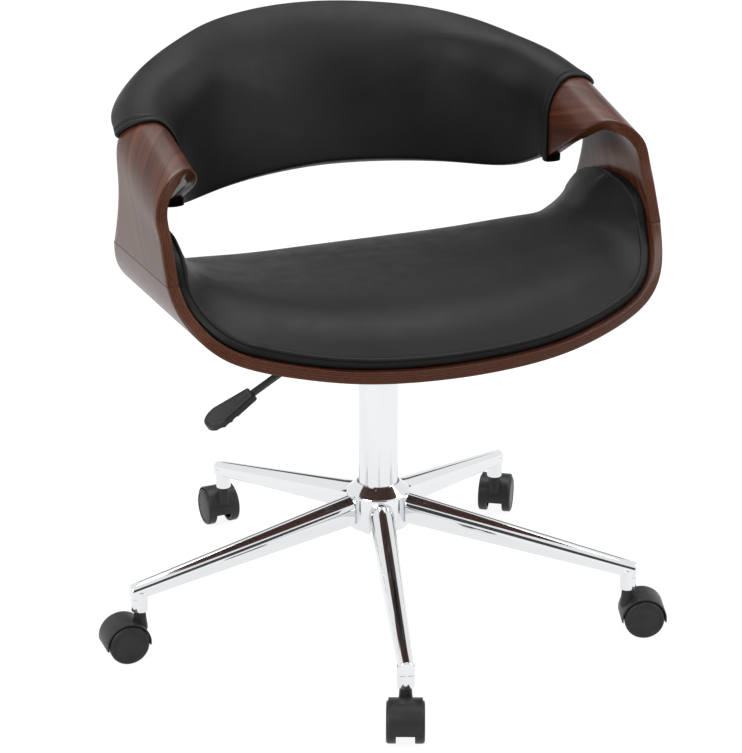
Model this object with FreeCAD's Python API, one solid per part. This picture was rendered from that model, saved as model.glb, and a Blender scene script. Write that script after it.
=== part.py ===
import FreeCAD, Part
import math
import os
from FreeCAD import Vector

# Swivel office chair: a bent plywood shell with rolled arms and a wrap-round padded back,
# a padded seat, a gas lift with a release lever, and a five-leg base on twin-wheel casters.
# Millimetres. The floor is z = 0, the column axis is the Z axis, and the chair faces -Y.

os.makedirs("parts", exist_ok=True)

# Fits
touch_gap = 0.1          # between fixed round pieces, on the radius
run_gap = 0.06           # between a turning or sliding shaft and its hole, on the radius
free_gap = 0.3           # between bodies that must not rub

# Base: hub, legs and caster sockets
leg_count = 5
first_leg_angle = 181.4  # from +X, seen from above
socket_circle = 320.0    # radius of the circle through the caster stems
hub_radius = 40.0
hub_bottom = 122.0
hub_height = 44.0
hub_cone_height = 11.0
hub_lip = 2.5
hub_wall = 3.5
hub_sleeve_wall = 4.0
hub_recess_depth = 34.0
leg_root_width = 32.0
leg_root_height = 34.0
leg_root_top = 163.0
leg_tip_width = 18.0
leg_tip_height = 18.0
leg_tip_top = 96.0
leg_wall = 2.0
cutter_reach = 100.0     # cutting shapes run this far past the piece they cut
socket_radius = 10.4
socket_bottom = 60.7
socket_height = 27.0
socket_roof = 3.0

# Casters
stem_radius = 5.5
stem_clip_width = 1.4
stem_tip = 1.5
neck_radius = 7.0
wheel_radius = 25.0
wheel_width = 11.5
wheel_gap = 22.0         # between the two wheels of one caster
wheel_bore_boss = 7.0
wheel_web = 3.0
wheel_rim = 4.0
tread_round = 4.0
caster_offset = 20.0     # from the stem to the axle
axle_radius = 3.0
hood_gap = 1.2           # between the tread and the hood
hood_wall = 2.0
hood_width = 40.0
hood_web = 16.0
hood_low_front = -8.0    # angles of the hood's ends, from the horizontal
hood_low_rear = -8.0
caster_angles = (180.0, 247.0, 340.0, 57.0, 92.0)   # where each caster trails to, as photographed

# Gas lift
column_radius = 25.0
column_wall = 1.5
column_bottom = 112.0
column_top = 322.0
column_floor = 3.0
bush_length = 60.0
bush_flange = 2.0
bearing_radius = 13.0
bearing_height = 6.0
rod_radius = 5.0
rod_shoulder_radius = 9.0
rod_shoulder_height = 3.0
clip_height = 1.8
piston_height = 10.0
piston_top = 250.0
tube_radius = 14.0
tube_wall = 1.8
tube_clear_of_shoulder = 4.0
gland_height = 10.0
tube_cap_height = 16.0
pin_radius = 4.0
pin_depth = 8.0          # length of the release pin inside the tube's cap
pin_stroke = 4.0

# Seat plate and lever
plate_thickness = 2.5
plate_width = 160.0
plate_front = 95.0
plate_rear = 75.0
channel_length = 116.0
channel_inner_width = 29.0
channel_floor_z = 366.0
cone_radius = 19.0
cone_length = 32.0
rib_length = 46.0
lever_z = 377.0
lever_radius = 4.5
lever_pivot_x = -45.0
lever_inner_reach = 8.0
lever_bend_x = -68.0
lever_bend_radius = 24.0
lever_drop_angle = 30.0
lever_rod_end_x = -182.0
lever_boss_radius = 8.0
pivot_radius = 3.0
pivot_head_radius = 5.0
pivot_head = 2.0
paddle_length = 70.0
paddle_root_width = 26.0
paddle_tip_width = 40.0
paddle_thickness = 11.0
paddle_step = 1.2
paddle_overlap = 20.0    # how far the rod runs into the paddle
bolt_radius = 3.0
bolt_head_radius = 6.0
bolt_head = 4.0
bolt_x = 66.0
bolt_front = 78.0
bolt_rear = 58.0
nut_flange_radius = 9.0
nut_flange = 1.5
nut_barrel_radius = 4.5

# Plywood: seat shell
ply = 13.5
half_width = 310.0
hollow_radius = 2136.0   # the seat's profile: a wide hollow, a flank and a corner arc on each side
hollow_turn = 2.31       # degrees turned at the end of each arc
flank_radius = 719.5
flank_turn = 14.78
seat_bottom_z = 406.0    # underside of the shell on the column axis
seat_slope = 0.05        # fall of the seat for each millimetre towards the back
seam_below_corner = 5.0  # the arm joint lies this far under the corner's centre
front_depth = 276.0      # column axis to the front edge
front_radius = 513.0
front_corner = 95.0
rear_depth = 185.0
rear_radius = 600.0
rear_corner = 70.0
plan_margin = 2.0        # the plan outlines would run straight back this far outside the arms

# Plywood: arms
roll_slope = 0.25        # rise of the rolled arm for each millimetre towards the back
roll_rise = 141.8        # top of the roll above the seat joint, at the column axis
roll_outer = 38.0        # radii of the roll, from the outside inwards
roll_inner = 22.0
leaf_blend = 61.0
roll_outer_turn = 90.0
roll_inner_turn = 48.0
leaf_blend_turn = 42.0
arm_rear = 45.0          # the roll ends here, inside the back's cover
leaf_length = 55.0
# Edges of the arm's panel: (distance along the chair, rise above the joint with the seat)
panel_fronts = ((-141.0, 0.0), (-127.0, 30.7), (-117.0, 51.2))
panel_rears = ((71.0, 0.0), (53.5, 35.7), (43.5, 78.2))
roll_fronts = (-106.0, -102.0, -94.0, -82.0, -76.0, -70.0, -53.0, -31.0, 2.0, 35.0)

# Back: one entry for each place round it. The places are angles from the arm (0) to the middle
# (90) about the point half-way between the arms' rear ends.
back_places = (0.0, 12.0, 25.0, 40.0, 62.0, 90.0)
back_insets = (0.0, 12.0, 41.0, 72.0, 98.0, 107.5)          # lower edge, inwards from the leaf
back_drops = (0.0, 20.9, 23.9, 20.9, 18.9, 17.9)            # lower edge, below the leaf's
back_growths = (0.0, 38.0, 59.5, 64.5, 33.0, 13.5)          # straight length, more than the leaf's
back_foams = (3.0, 7.0, 11.0, 14.0, 16.0, 16.5)             # foam and cover ahead of the wood
back_leans = (0.0, 1.5, 5.6, 13.7, 18.3, 20.5)
back_curls = (1.00, 0.87, 0.67, 0.34, 0.24, 0.18)           # turn of the curl, 1 is as on the arm
back_outer_turns = (62.0, 76.5, 55.0, 31.5, 21.6, 16.2)
back_scales = (1.00, 0.95, 0.93, 1.51, 3.68, 6.00)          # of the curl's radii
cover_rear = 3.0
cover_ends = 4.5
cuff_front = 27.0        # the cover starts here on each arm
hem_width = 7.0
hem_proud = 1.6
arm_gap = 0.35           # between the cover and the arm inside it

# Seat cushion
cushion_gap = 0.3
cushion_edge = 12.0
cushion_crown = 2.5
cushion_inset = 10.0     # from the wood's front and rear edges
cushion_heights = (50.0, 50.0, 50.0, 49.5, 48.5, 47.5, 47.0, 45.0, 42.0, 38.0, 34.0)
# Above the joint with the arm: (rise, front end, rear end, thickness)
cushion_top_rows = ((20.0, -126.0, 42.0, 27.0), (32.0, -117.0, 22.0, 18.0), (40.0, -92.0, -6.0, 13.5))
cushion_front_blend = 95.0
cushion_rear_blend = 105.0

# Dowels between the shell and the arms
dowel_radius = 4.0
dowel_half_length = 17.0
dowel_places = (-112.0, -35.0, 42.0)


def save(name, shape):
    """Write one piece to its own file."""
    if shape.ShapeType == "Compound" and len(shape.Solids) == 1:
        shape = shape.Solids[0]
    shape.exportStep("parts/" + name + ".step")
    print(name, "valid" if shape.isValid() else "INVALID", len(shape.Solids), round(shape.Volume))


def line(a, b):
    return Part.LineSegment(a, b).toShape()


def arc(a, m, b):
    return Part.Arc(a, m, b).toShape()


def cylinder(radius, low, high, x=0.0, y=0.0):
    return Part.makeCylinder(radius, high - low, Vector(x, y, low))


def revolved(profile):
    """Turn a closed list of (radius, z) points round the Z axis."""
    points = [Vector(r, 0, z) for r, z in profile]
    face = Part.Face(Part.makePolygon(points + points[:1]))
    return face.revolve(Vector(0, 0, 0), Vector(0, 0, 1), 360)


def turned(shape, degrees, centre=Vector(0, 0, 0), axis=Vector(0, 0, 1)):
    copy = shape.copy()
    copy.rotate(centre, axis, degrees)
    return copy


def moved(shape, x=0.0, y=0.0, z=0.0):
    copy = shape.copy()
    copy.translate(Vector(x, y, z))
    return copy


def mirrored(shape):
    """The same piece on the other side of the chair."""
    return shape.mirror(Vector(0, 0, 0), Vector(1, 0, 0))


def steps(low, high, count):
    """Evenly spaced numbers after the low one, up to the high one."""
    return [low + (high - low) * (i + 1) / count for i in range(count)]


def through(places, rows):
    """Smooth curve through rows of three numbers, one row at each place."""
    curve = Part.BSplineCurve()
    curve.interpolate(Points=[Vector(*row) for row in rows], Parameters=list(places))
    return curve


def ruled(outlines):
    """Solid with straight facets between closed outlines of matching corners."""
    return Part.makeLoft([Part.makePolygon(list(o) + [o[0]]) for o in outlines], True, True)


def seat_fall(y):
    return -seat_slope * y


# Base

def hub():
    top = hub_bottom + hub_height
    lip_top = top + hub_cone_height
    bore = column_radius + touch_gap
    profile = (
        (bore, hub_bottom),
        (bore + hub_sleeve_wall, hub_bottom),
        (bore + hub_sleeve_wall, hub_bottom + hub_recess_depth),
        (hub_radius - hub_wall, hub_bottom + hub_recess_depth),
        (hub_radius - hub_wall, hub_bottom),
        (hub_radius, hub_bottom),
        (hub_radius, top),
        (bore + hub_lip, lip_top),
        (bore, lip_top + hub_lip / 2),
    )
    return revolved(profile)


def leg_bar(length, inset, start, end):
    """Tapered bar along +X with a half-round top, shrunk on all sides by an inset. The length
    is from its root to its tip, and the bar is made from the start to the end place."""
    ends = []
    for along in (start, end):
        share = along / length
        half = (leg_root_width + (leg_tip_width - leg_root_width) * share) / 2
        height = leg_root_height + (leg_tip_height - leg_root_height) * share
        ends.append((along, half - inset, height - half - inset))
    quarter = [Vector(start, 0, 0), Vector(end, 0, 0), Vector(end, ends[1][1], 0), Vector(start, ends[0][1], 0)]
    top = Part.Face(Part.makePolygon(quarter + quarter[:1])).revolve(Vector(0, 0, 0), Vector(1, 0, 0), 180)
    sides = [
        [Vector(along, -half, 0), Vector(along, half, 0), Vector(along, half, -deep), Vector(along, -half, -deep)]
        for along, half, deep in ends
    ]
    return top.fuse(ruled(sides)).removeSplitter()


def leg():
    """One tapered tube, pointing along +X, with its end coped round the hub."""
    tip = socket_circle + socket_radius
    root_axis = leg_root_top - leg_root_width / 2
    fall = root_axis - (leg_tip_top - leg_tip_width / 2)
    length = math.hypot(tip - hub_radius, fall)
    outside = leg_bar(length, 0.0, -leg_root_width / 4, length + leg_tip_height / 2)
    inside = leg_bar(length, leg_wall, -leg_root_width / 2, length - leg_wall - leg_tip_height / 4)
    tube = turned(outside.cut(inside), math.degrees(math.atan2(fall, tip - hub_radius)), axis=Vector(0, 1, 0))
    tube = moved(tube, hub_radius, 0, root_axis)
    hub_space = cylinder(hub_radius, 0, 2 * cutter_reach)
    socket_space = cylinder(socket_radius, socket_bottom, socket_bottom + socket_height, socket_circle)
    beyond = Part.makeBox(cutter_reach, cutter_reach, 2 * cutter_reach, Vector(tip, -cutter_reach / 2, 0))
    return tube.cut(hub_space).cut(socket_space).cut(beyond)


def socket():
    """Upright socket for a caster stem, under the tip of a leg."""
    top = socket_bottom + socket_height
    body = cylinder(socket_radius, socket_bottom, top, socket_circle)
    bore = cylinder(stem_radius + run_gap, socket_bottom - 1, top - socket_roof, socket_circle)
    return body.cut(bore)


# Casters, each built with its stem on the Z axis and trailing to +X

def wheel():
    """One wheel about the axle, its outer face towards +Y, turned about the Y axis."""
    inner = wheel_gap / 2
    outer = inner + wheel_width
    rim_inner = wheel_radius - wheel_rim
    bore = axle_radius + run_gap
    shoulder = tread_round * (1 - math.sin(math.radians(45)))
    profile = (
        (bore, inner - 1),
        (wheel_bore_boss, inner - 1),
        (wheel_bore_boss, outer - wheel_web),
        (rim_inner, outer - wheel_web),
        (rim_inner, inner),
        (wheel_radius, inner),
        (wheel_radius, outer - tread_round),
        (wheel_radius - shoulder, outer - shoulder),
        (wheel_radius - tread_round, outer),
        (bore, outer),
    )
    points = [Vector(radius, along, 0) for radius, along in profile]
    face = Part.Face(Part.makePolygon(points + points[:1]))
    return moved(face.revolve(Vector(0, 0, 0), Vector(0, 1, 0), 360), caster_offset, 0, wheel_radius)


def hood():
    """Cover over the wheels, with the web that holds the axle and the neck for the stem."""
    centre = Vector(caster_offset, 0, wheel_radius)
    inner = wheel_radius + hood_gap
    outer = inner + hood_wall

    def band(radius_in, radius_out, width, low_rear, low_front):
        """Arched band from the rear end over the top to the front end."""
        angles = (low_rear, (low_rear + 180 - low_front) / 2, 180 - low_front)
        ring = [Vector(math.cos(math.radians(a)), 0, math.sin(math.radians(a))) for a in angles]
        outside = [centre + p * radius_out for p in ring]
        inside = [centre + p * radius_in for p in ring]
        edges = [
            arc(outside[0], outside[1], outside[2]),
            line(outside[2], inside[2]),
            arc(inside[2], inside[1], inside[0]),
            line(inside[0], outside[0]),
        ]
        face = Part.Face(Part.Wire(edges))
        face.translate(Vector(0, -width / 2, 0))
        return face.extrude(Vector(0, width, 0))

    shell = band(inner, outer, hood_width, hood_low_front, hood_low_front)
    web_shell = band(axle_radius + 2, outer, hood_web, hood_low_rear, 20.0)
    neck_top = socket_bottom - free_gap
    neck = cylinder(neck_radius, wheel_radius + 12, neck_top)
    boss = Part.makeCylinder(axle_radius + 4, hood_web, centre - Vector(0, hood_web / 2, 0), Vector(0, 1, 0))
    body = shell.fuse([web_shell, neck, boss]).removeSplitter()
    between = wheel_gap - 1.5
    reach = Vector(0, cutter_reach, 0)
    lips = Part.makeBox(2 * cutter_reach, between, cutter_reach, Vector(-cutter_reach, -between / 2, 0))
    wheel_space = Part.makeCylinder(inner, 2 * cutter_reach, centre - reach, Vector(0, 1, 0))
    neck_trim = neck.common(wheel_space).cut(lips)
    body = body.cut(neck_trim)
    axle_hole = Part.makeCylinder(axle_radius, 2 * cutter_reach, centre - reach, Vector(0, 1, 0))
    stem_hole = cylinder(stem_radius, wheel_radius + 16, neck_top + 1)
    return body.cut(axle_hole).cut(stem_hole)


def axle():
    half = wheel_gap / 2 + wheel_width - 3
    return Part.makeCylinder(axle_radius, 2 * half, Vector(caster_offset, -half, wheel_radius), Vector(0, 1, 0))


def stem():
    """Steel stem with a snap-ring groove, from the hood's neck up into the socket."""
    low = wheel_radius + 16
    high = socket_bottom + socket_height - socket_roof - stem_tip - 1
    pin = cylinder(stem_radius, low, high)
    groove_low = high - 5
    groove = cylinder(stem_radius + 1, groove_low, groove_low + stem_clip_width)
    groove = groove.cut(cylinder(stem_radius - 0.8, groove_low, groove_low + stem_clip_width))
    tip = Part.makeCone(stem_radius, stem_radius - stem_tip, stem_tip, Vector(0, 0, high))
    return pin.cut(groove).fuse(tip).removeSplitter()


def place_caster(shape, index):
    """Turn a caster piece to its trail angle and move it under its leg."""
    leg_angle = math.radians(first_leg_angle + index * 360 / leg_count)
    x = socket_circle * math.cos(leg_angle)
    y = socket_circle * math.sin(leg_angle)
    return moved(turned(shape, caster_angles[index]), x, y)


# Gas lift

def column_tube():
    inner = column_radius - column_wall
    rod_hole = rod_radius + run_gap
    profile = (
        (rod_hole, column_bottom),
        (column_radius - 1, column_bottom),
        (column_radius, column_bottom + 1),
        (column_radius, column_top),
        (inner, column_top),
        (inner, column_bottom + column_floor),
        (rod_hole, column_bottom + column_floor),
    )
    return revolved(profile)


def guide_bush():
    inner = tube_radius + run_gap
    outer = column_radius - column_wall - touch_gap
    profile = (
        (inner, column_top - bush_length),
        (outer, column_top - bush_length),
        (outer, column_top),
        (column_radius, column_top),
        (column_radius - 1, column_top + bush_flange),
        (inner, column_top + bush_flange),
    )
    return revolved(profile)


def thrust_bearing():
    low = column_bottom + column_floor
    race = bearing_height / 3
    inner = rod_radius + run_gap
    waist = bearing_radius - 1.2
    profile = (
        (inner, low),
        (bearing_radius, low),
        (bearing_radius, low + race),
        (waist, low + race),
        (waist, low + 2 * race),
        (bearing_radius, low + 2 * race),
        (bearing_radius, low + bearing_height),
        (inner, low + bearing_height),
    )
    return revolved(profile)


def shoulder_z():
    return column_bottom + column_floor + bearing_height


def piston_rod():
    """Rod with its shoulder on the thrust bearing and its piston inside the pressure tube."""
    shoulder = shoulder_z()
    piston_radius = tube_radius - tube_wall - run_gap
    foot = column_bottom - clip_height - 3
    profile = (
        (0, foot),
        (rod_radius, foot),
        (rod_radius, shoulder),
        (rod_shoulder_radius, shoulder),
        (rod_shoulder_radius, shoulder + rod_shoulder_height),
        (rod_radius, shoulder + rod_shoulder_height),
        (rod_radius, piston_top - piston_height),
        (piston_radius, piston_top - piston_height),
        (piston_radius, piston_top),
        (0, piston_top),
    )
    return revolved(profile)


def rod_clip():
    """Retaining clip under the column's floor, open on one side."""
    high = column_bottom - 0.2
    ring = cylinder(rod_shoulder_radius, high - clip_height, high).cut(
        cylinder(rod_radius + touch_gap, high - clip_height, high)
    )
    mouth = Part.makeBox(20, rod_radius, 10, Vector(0, -rod_radius / 2, high - 5))
    return ring.cut(mouth)


def tube_bottom():
    return shoulder_z() + rod_shoulder_height + tube_clear_of_shoulder


def tube_top():
    return channel_floor_z - plate_thickness


def pressure_tube():
    low = tube_bottom()
    top = tube_top()
    bore = tube_radius - tube_wall
    profile = (
        (rod_radius + run_gap, low),
        (tube_radius, low),
        (tube_radius, top),
        (pin_radius + run_gap, top),
        (pin_radius + run_gap, top - pin_depth - pin_stroke - 1),
        (0, top - pin_depth - pin_stroke - 1),
        (0, top - tube_cap_height - 2),
        (bore, top - tube_cap_height - 2),
        (bore, low + gland_height),
        (rod_radius + run_gap, low + gland_height),
    )
    return revolved(profile)


def release_pin():
    high = lever_z - lever_radius - free_gap
    low = tube_top() - pin_depth
    return cylinder(pin_radius, low, high)


# Seat plate and lever

def seat_plate():
    """Pressed plate under the seat: flange, lever channel, cone socket and two ribs."""
    flange_top = [Vector(-plate_width / 2, y, seat_bottom_z + seat_fall(y)) for y in (-plate_front, plate_rear)]
    flange_side = Part.makePolygon([
        flange_top[0],
        flange_top[1],
        flange_top[1] - Vector(0, 0, plate_thickness),
        flange_top[0] - Vector(0, 0, plate_thickness),
        flange_top[0],
    ])
    flange = Part.Face(flange_side).extrude(Vector(plate_width, 0, 0))

    def under_flange(solid):
        """Keep what lies below the middle of the sloping flange."""
        cutter = [v - Vector(20, 0, plate_thickness / 2) for v in flange_top]
        up = Vector(0, 0, 80)
        side = Part.makePolygon([cutter[0], cutter[1], cutter[1] + up, cutter[0] + up, cutter[0]])
        return solid.cut(Part.Face(side).extrude(Vector(plate_width + 40, 0, 0)))

    length = channel_length
    outer = channel_inner_width / 2 + plate_thickness
    height = seat_bottom_z + 10 - channel_floor_z
    floor_low = channel_floor_z - plate_thickness
    cheeks = [
        Part.makeBox(length, plate_thickness, height + plate_thickness, Vector(-length / 2, y, floor_low))
        for y in (-outer, outer - plate_thickness)
    ]
    floor = Part.makeBox(length, 2 * outer, plate_thickness, Vector(-length / 2, -outer, floor_low))
    ribs = []
    for side in (-1, 1):
        corners = [
            Vector(-plate_thickness / 2, side * (outer - 1), floor_low),
            Vector(-plate_thickness / 2, side * (outer - 1), seat_bottom_z + 4),
            Vector(-plate_thickness / 2, side * (outer + rib_length), seat_bottom_z + 4),
            Vector(-plate_thickness / 2, side * (outer + rib_length), seat_bottom_z - 10),
        ]
        rib = Part.Face(Part.makePolygon(corners + corners[:1])).extrude(Vector(plate_thickness, 0, 0))
        ribs.append(rib)
    cone = cylinder(cone_radius, floor_low - cone_length, floor_low)
    lower = cheeks[0].fuse([cheeks[1], floor, cone] + ribs)
    body = flange.fuse(under_flange(lower)).removeSplitter()
    tube_hole = cylinder(tube_radius + touch_gap, floor_low - cone_length - 1, floor_low)
    pin_hole = cylinder(pin_radius + 1.5, floor_low - 1, channel_floor_z + 1)
    pivot_hole = Part.makeCylinder(pivot_radius, 80, Vector(lever_pivot_x, -40, lever_z), Vector(0, 1, 0))
    body = body.cut(tube_hole).cut(pin_hole).cut(pivot_hole)
    for x, y in bolt_places():
        body = body.cut(cylinder(bolt_radius + 0.25, seat_bottom_z - 30, seat_bottom_z + 30, x, y))
    return body


def bolt_places():
    return [(x, y) for x in (-bolt_x, bolt_x) for y in (-bolt_front, bolt_rear)]


def seat_bolts():
    """Four bolts up through the flange, with hexagon heads under it."""
    bolts = []
    for x, y in bolt_places():
        under = seat_bottom_z + seat_fall(y) - plate_thickness - bolt_head_radius * seat_slope
        corners = [
            Vector(x + bolt_head_radius * math.cos(math.radians(60 * i)),
                   y + bolt_head_radius * math.sin(math.radians(60 * i)), under - bolt_head)
            for i in range(6)
        ]
        head = Part.Face(Part.makePolygon(corners + corners[:1])).extrude(Vector(0, 0, bolt_head))
        shank = cylinder(bolt_radius, under, under + plate_thickness + ply, x, y)
        bolts.append(head.fuse(shank).removeSplitter())
    return Part.makeCompound(bolts)


def shell_top_z(x, y):
    """Height of the shell's upper face near the middle of the seat."""
    rise = hollow_radius - math.sqrt((hollow_radius - ply) ** 2 - x * x)
    return seat_bottom_z + rise + seat_fall(y)


def nut_pocket(x, y, grow):
    """Space of one flanged nut let into the shell from above."""
    top = shell_top_z(x, y) - nut_flange_radius * seat_slope - 0.6
    flange = cylinder(nut_flange_radius + grow, top - nut_flange, top + (20 if grow else 0), x, y)
    barrel = cylinder(nut_barrel_radius + grow, top - nut_flange - 8, top, x, y)
    return flange.fuse(barrel).removeSplitter()


def tee_nuts():
    nuts = []
    for x, y in bolt_places():
        nut = nut_pocket(x, y, 0).cut(cylinder(bolt_radius + touch_gap, seat_bottom_z - 30, seat_bottom_z + 60, x, y))
        nuts.append(nut)
    return Part.makeCompound(nuts)


def pivot_pin():
    outer = channel_inner_width / 2 + plate_thickness
    start = Vector(lever_pivot_x, -outer - pivot_head, lever_z)
    shank = Part.makeCylinder(pivot_radius, 2 * (outer + pivot_head), start, Vector(0, 1, 0))
    head = Part.makeCylinder(pivot_head_radius, pivot_head, start, Vector(0, 1, 0))
    far_head = moved(head, 0, 2 * outer + pivot_head)
    return shank.fuse([head, far_head]).removeSplitter()


def lever_path_point(distance):
    """Point on the sloping outer run, measured from the bend's corner."""
    drop = math.radians(lever_drop_angle)
    return Vector(lever_bend_x - distance * math.cos(drop), 0, lever_z - distance * math.sin(drop))


def lever_run():
    """Length of the sloping run, from the bend's corner to the rod's end."""
    return (lever_bend_x - lever_rod_end_x) / math.cos(math.radians(lever_drop_angle))


def lever_rod():
    """Round rod, level inside the channel and bent down outside it, with its pivot boss."""
    drop = math.radians(lever_drop_angle)
    trim = lever_bend_radius * math.tan(drop / 2)
    inner = Vector(lever_inner_reach, 0, lever_z)
    bend_start = Vector(lever_bend_x + trim, 0, lever_z)
    centre = bend_start - Vector(0, 0, lever_bend_radius)
    half = math.radians(90) + drop / 2
    bend_middle = centre + Vector(math.cos(half), 0, math.sin(half)) * lever_bend_radius
    bend_end = lever_path_point(trim)
    end = lever_path_point(lever_run())
    path = Part.Wire([line(inner, bend_start), arc(bend_start, bend_middle, bend_end), line(bend_end, end)])
    section = Part.Wire(Part.makeCircle(lever_radius, inner, Vector(-1, 0, 0)))
    rod = path.makePipeShell([section], True, False)
    half_boss = channel_inner_width / 2 - free_gap
    start = Vector(lever_pivot_x, -half_boss, lever_z)
    boss = Part.makeCylinder(lever_boss_radius, 2 * half_boss, start, Vector(0, 1, 0))
    hole = Part.makeCylinder(pivot_radius + run_gap, 80, Vector(lever_pivot_x, -40, lever_z), Vector(0, 1, 0))
    return rod.fuse(boss).removeSplitter().cut(hole)


def paddle():
    """Tapered hand paddle with a rounded end, a raised top face and finger notches beneath."""
    drop = math.radians(lever_drop_angle)
    along = Vector(-math.cos(drop), 0, -math.sin(drop))
    normal = Vector(-math.sin(drop), 0, math.cos(drop))
    start = lever_path_point(lever_run() - paddle_overlap)

    def outline(inset, height):
        root = paddle_root_width / 2 - inset
        tip = paddle_tip_width / 2 - inset
        straight = paddle_length - tip - inset
        base = start + normal * height

        def spot(distance, side):
            return base + along * distance + Vector(0, side, 0)

        edges = [
            line(spot(inset, -root), spot(inset, root)),
            line(spot(inset, root), spot(straight, tip)),
            arc(spot(straight, tip), spot(straight + tip, 0), spot(straight, -tip)),
            line(spot(straight, -tip), spot(inset, -root)),
        ]
        return Part.Face(Part.Wire(edges))

    body = outline(0, -paddle_thickness / 2).extrude(normal * (paddle_thickness - paddle_step))
    cap = outline(paddle_step, paddle_thickness / 2 - paddle_step).extrude(normal * paddle_step)
    body = body.fuse(cap).removeSplitter()
    notch_radius = 5.0
    for count in range(3):
        place = start + along * (38 + 11 * count) - normal * (paddle_thickness / 2 + notch_radius - 2)
        notch = Part.makeCylinder(notch_radius, 80, place - Vector(0, 40, 0), Vector(0, 1, 0))
        body = body.cut(notch)
    rod_end = lever_path_point(lever_run())
    hole = Part.makeCylinder(lever_radius, paddle_overlap + 5, rod_end, along * -1)
    return body.cut(hole)


# Plywood: every sheet is built from cross-cuts. A cross-cut runs straight from the sheet's front
# edge to its rear edge, and is as thick as the sheet along the inward direction there.

def cross_cut(front, rear, inward, thickness):
    return [front, rear, rear + inward * thickness, front + inward * thickness]


def seat_curve():
    """Radius of the seat's corner arc and the place (x, z) of its centre."""
    first = math.radians(hollow_turn)
    second = math.radians(flank_turn)
    flank_x = hollow_radius * math.sin(first) + flank_radius * (math.sin(second) - math.sin(first))
    hollow_rise = hollow_radius * (1 - math.cos(first))
    flank_z = seat_bottom_z + hollow_rise + flank_radius * (math.cos(first) - math.cos(second))
    radius = (half_width - flank_x) / (1 - math.sin(second))
    return radius, half_width - radius, flank_z + radius * math.cos(second)


def seat_point(degrees):
    """Place on the seat's underside, at the column, where it has turned up by an angle."""
    angle = math.radians(degrees)
    first = math.radians(hollow_turn)
    inward = Vector(-math.sin(angle), 0, math.cos(angle))
    if degrees <= hollow_turn:
        centre_x, centre_z, radius = 0.0, seat_bottom_z + hollow_radius, hollow_radius
    elif degrees <= flank_turn:
        radius = flank_radius
        centre_x = (hollow_radius - radius) * math.sin(first)
        centre_z = seat_bottom_z + hollow_radius - (hollow_radius - radius) * math.cos(first)
    else:
        radius, centre_x, centre_z = seat_curve()
    return centre_x + radius * math.sin(angle), centre_z - radius * math.cos(angle), inward


def plan_edge(x, depth, radius, corner):
    """Distance of a plan outline from the column axis: a wide arc with a corner arc."""
    corner_x = half_width + plan_margin - corner
    arc_centre = depth - radius
    corner_y = arc_centre + math.sqrt((radius - corner) ** 2 - corner_x ** 2)
    junction_x = corner_x * radius / (radius - corner)
    if abs(x) < junction_x:
        return arc_centre + math.sqrt(radius ** 2 - x * x)
    return corner_y + math.sqrt(max(corner ** 2 - (abs(x) - corner_x) ** 2, 0))


def seat_front(x):
    return -plan_edge(x, front_depth, front_radius, front_corner)


def seat_rear(x):
    return plan_edge(x, rear_depth, rear_radius, rear_corner)


def seam_turn():
    """Turn of the seat's profile at the joint with the arms."""
    return 90 - math.degrees(math.asin(seam_below_corner / seat_curve()[0]))


def seat_run(degrees):
    """Length of the seat's profile from the column axis to where it has turned up by an angle."""
    run = 0.0
    low = 0.0
    for radius, high in ((hollow_radius, hollow_turn), (flank_radius, flank_turn), (seat_curve()[0], 90.0)):
        if degrees > low:
            run += radius * math.radians(min(degrees, high) - low)
        low = high
    return run


def shell_turns(hollow_count, flank_count, corner_count):
    """Turns of the seat's profile, from the column axis to the joint with the arm."""
    turns = [0.0] + steps(0.0, hollow_turn, hollow_count)
    turns += steps(hollow_turn, flank_turn, flank_count)
    return turns + steps(flank_turn, seam_turn(), corner_count)


def shell_profile():
    """Right half of the seat's profile: (x, z at the axis, inward direction) of the underside."""
    return [seat_point(turn) for turn in shell_turns(3, 6, 12)]


def ruling(x, z, front, rear):
    """The two ends of a straight line on the seat's underside."""
    return Vector(x, front, z + seat_fall(front)), Vector(x, rear, z + seat_fall(rear))


def both_sides(rows):
    """Right-half rows, outermost last, turned into a full list from left to right."""
    left = [(-x, z, Vector(-n.x, 0, n.z)) + tuple(rest) for x, z, n, *rest in reversed(rows[1:])]
    return left + list(rows)


def seat_shell():
    cuts = []
    for x, z, inward in both_sides(shell_profile()):
        front, rear = ruling(x, z, seat_front(x), seat_rear(x))
        cuts.append(cross_cut(front, rear, inward, ply))
    shell = ruled(cuts)
    for x, y in bolt_places():
        shell = shell.cut(cylinder(bolt_radius + touch_gap, seat_bottom_z - 30, seat_bottom_z + 60, x, y))
        shell = shell.cut(nut_pocket(x, y, touch_gap))
    return shell.cut(joint_dowels(touch_gap))


def seam_height(y):
    """Height of the joint between the seat shell and an arm."""
    return seat_curve()[2] - seam_below_corner + seat_fall(y)


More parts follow.
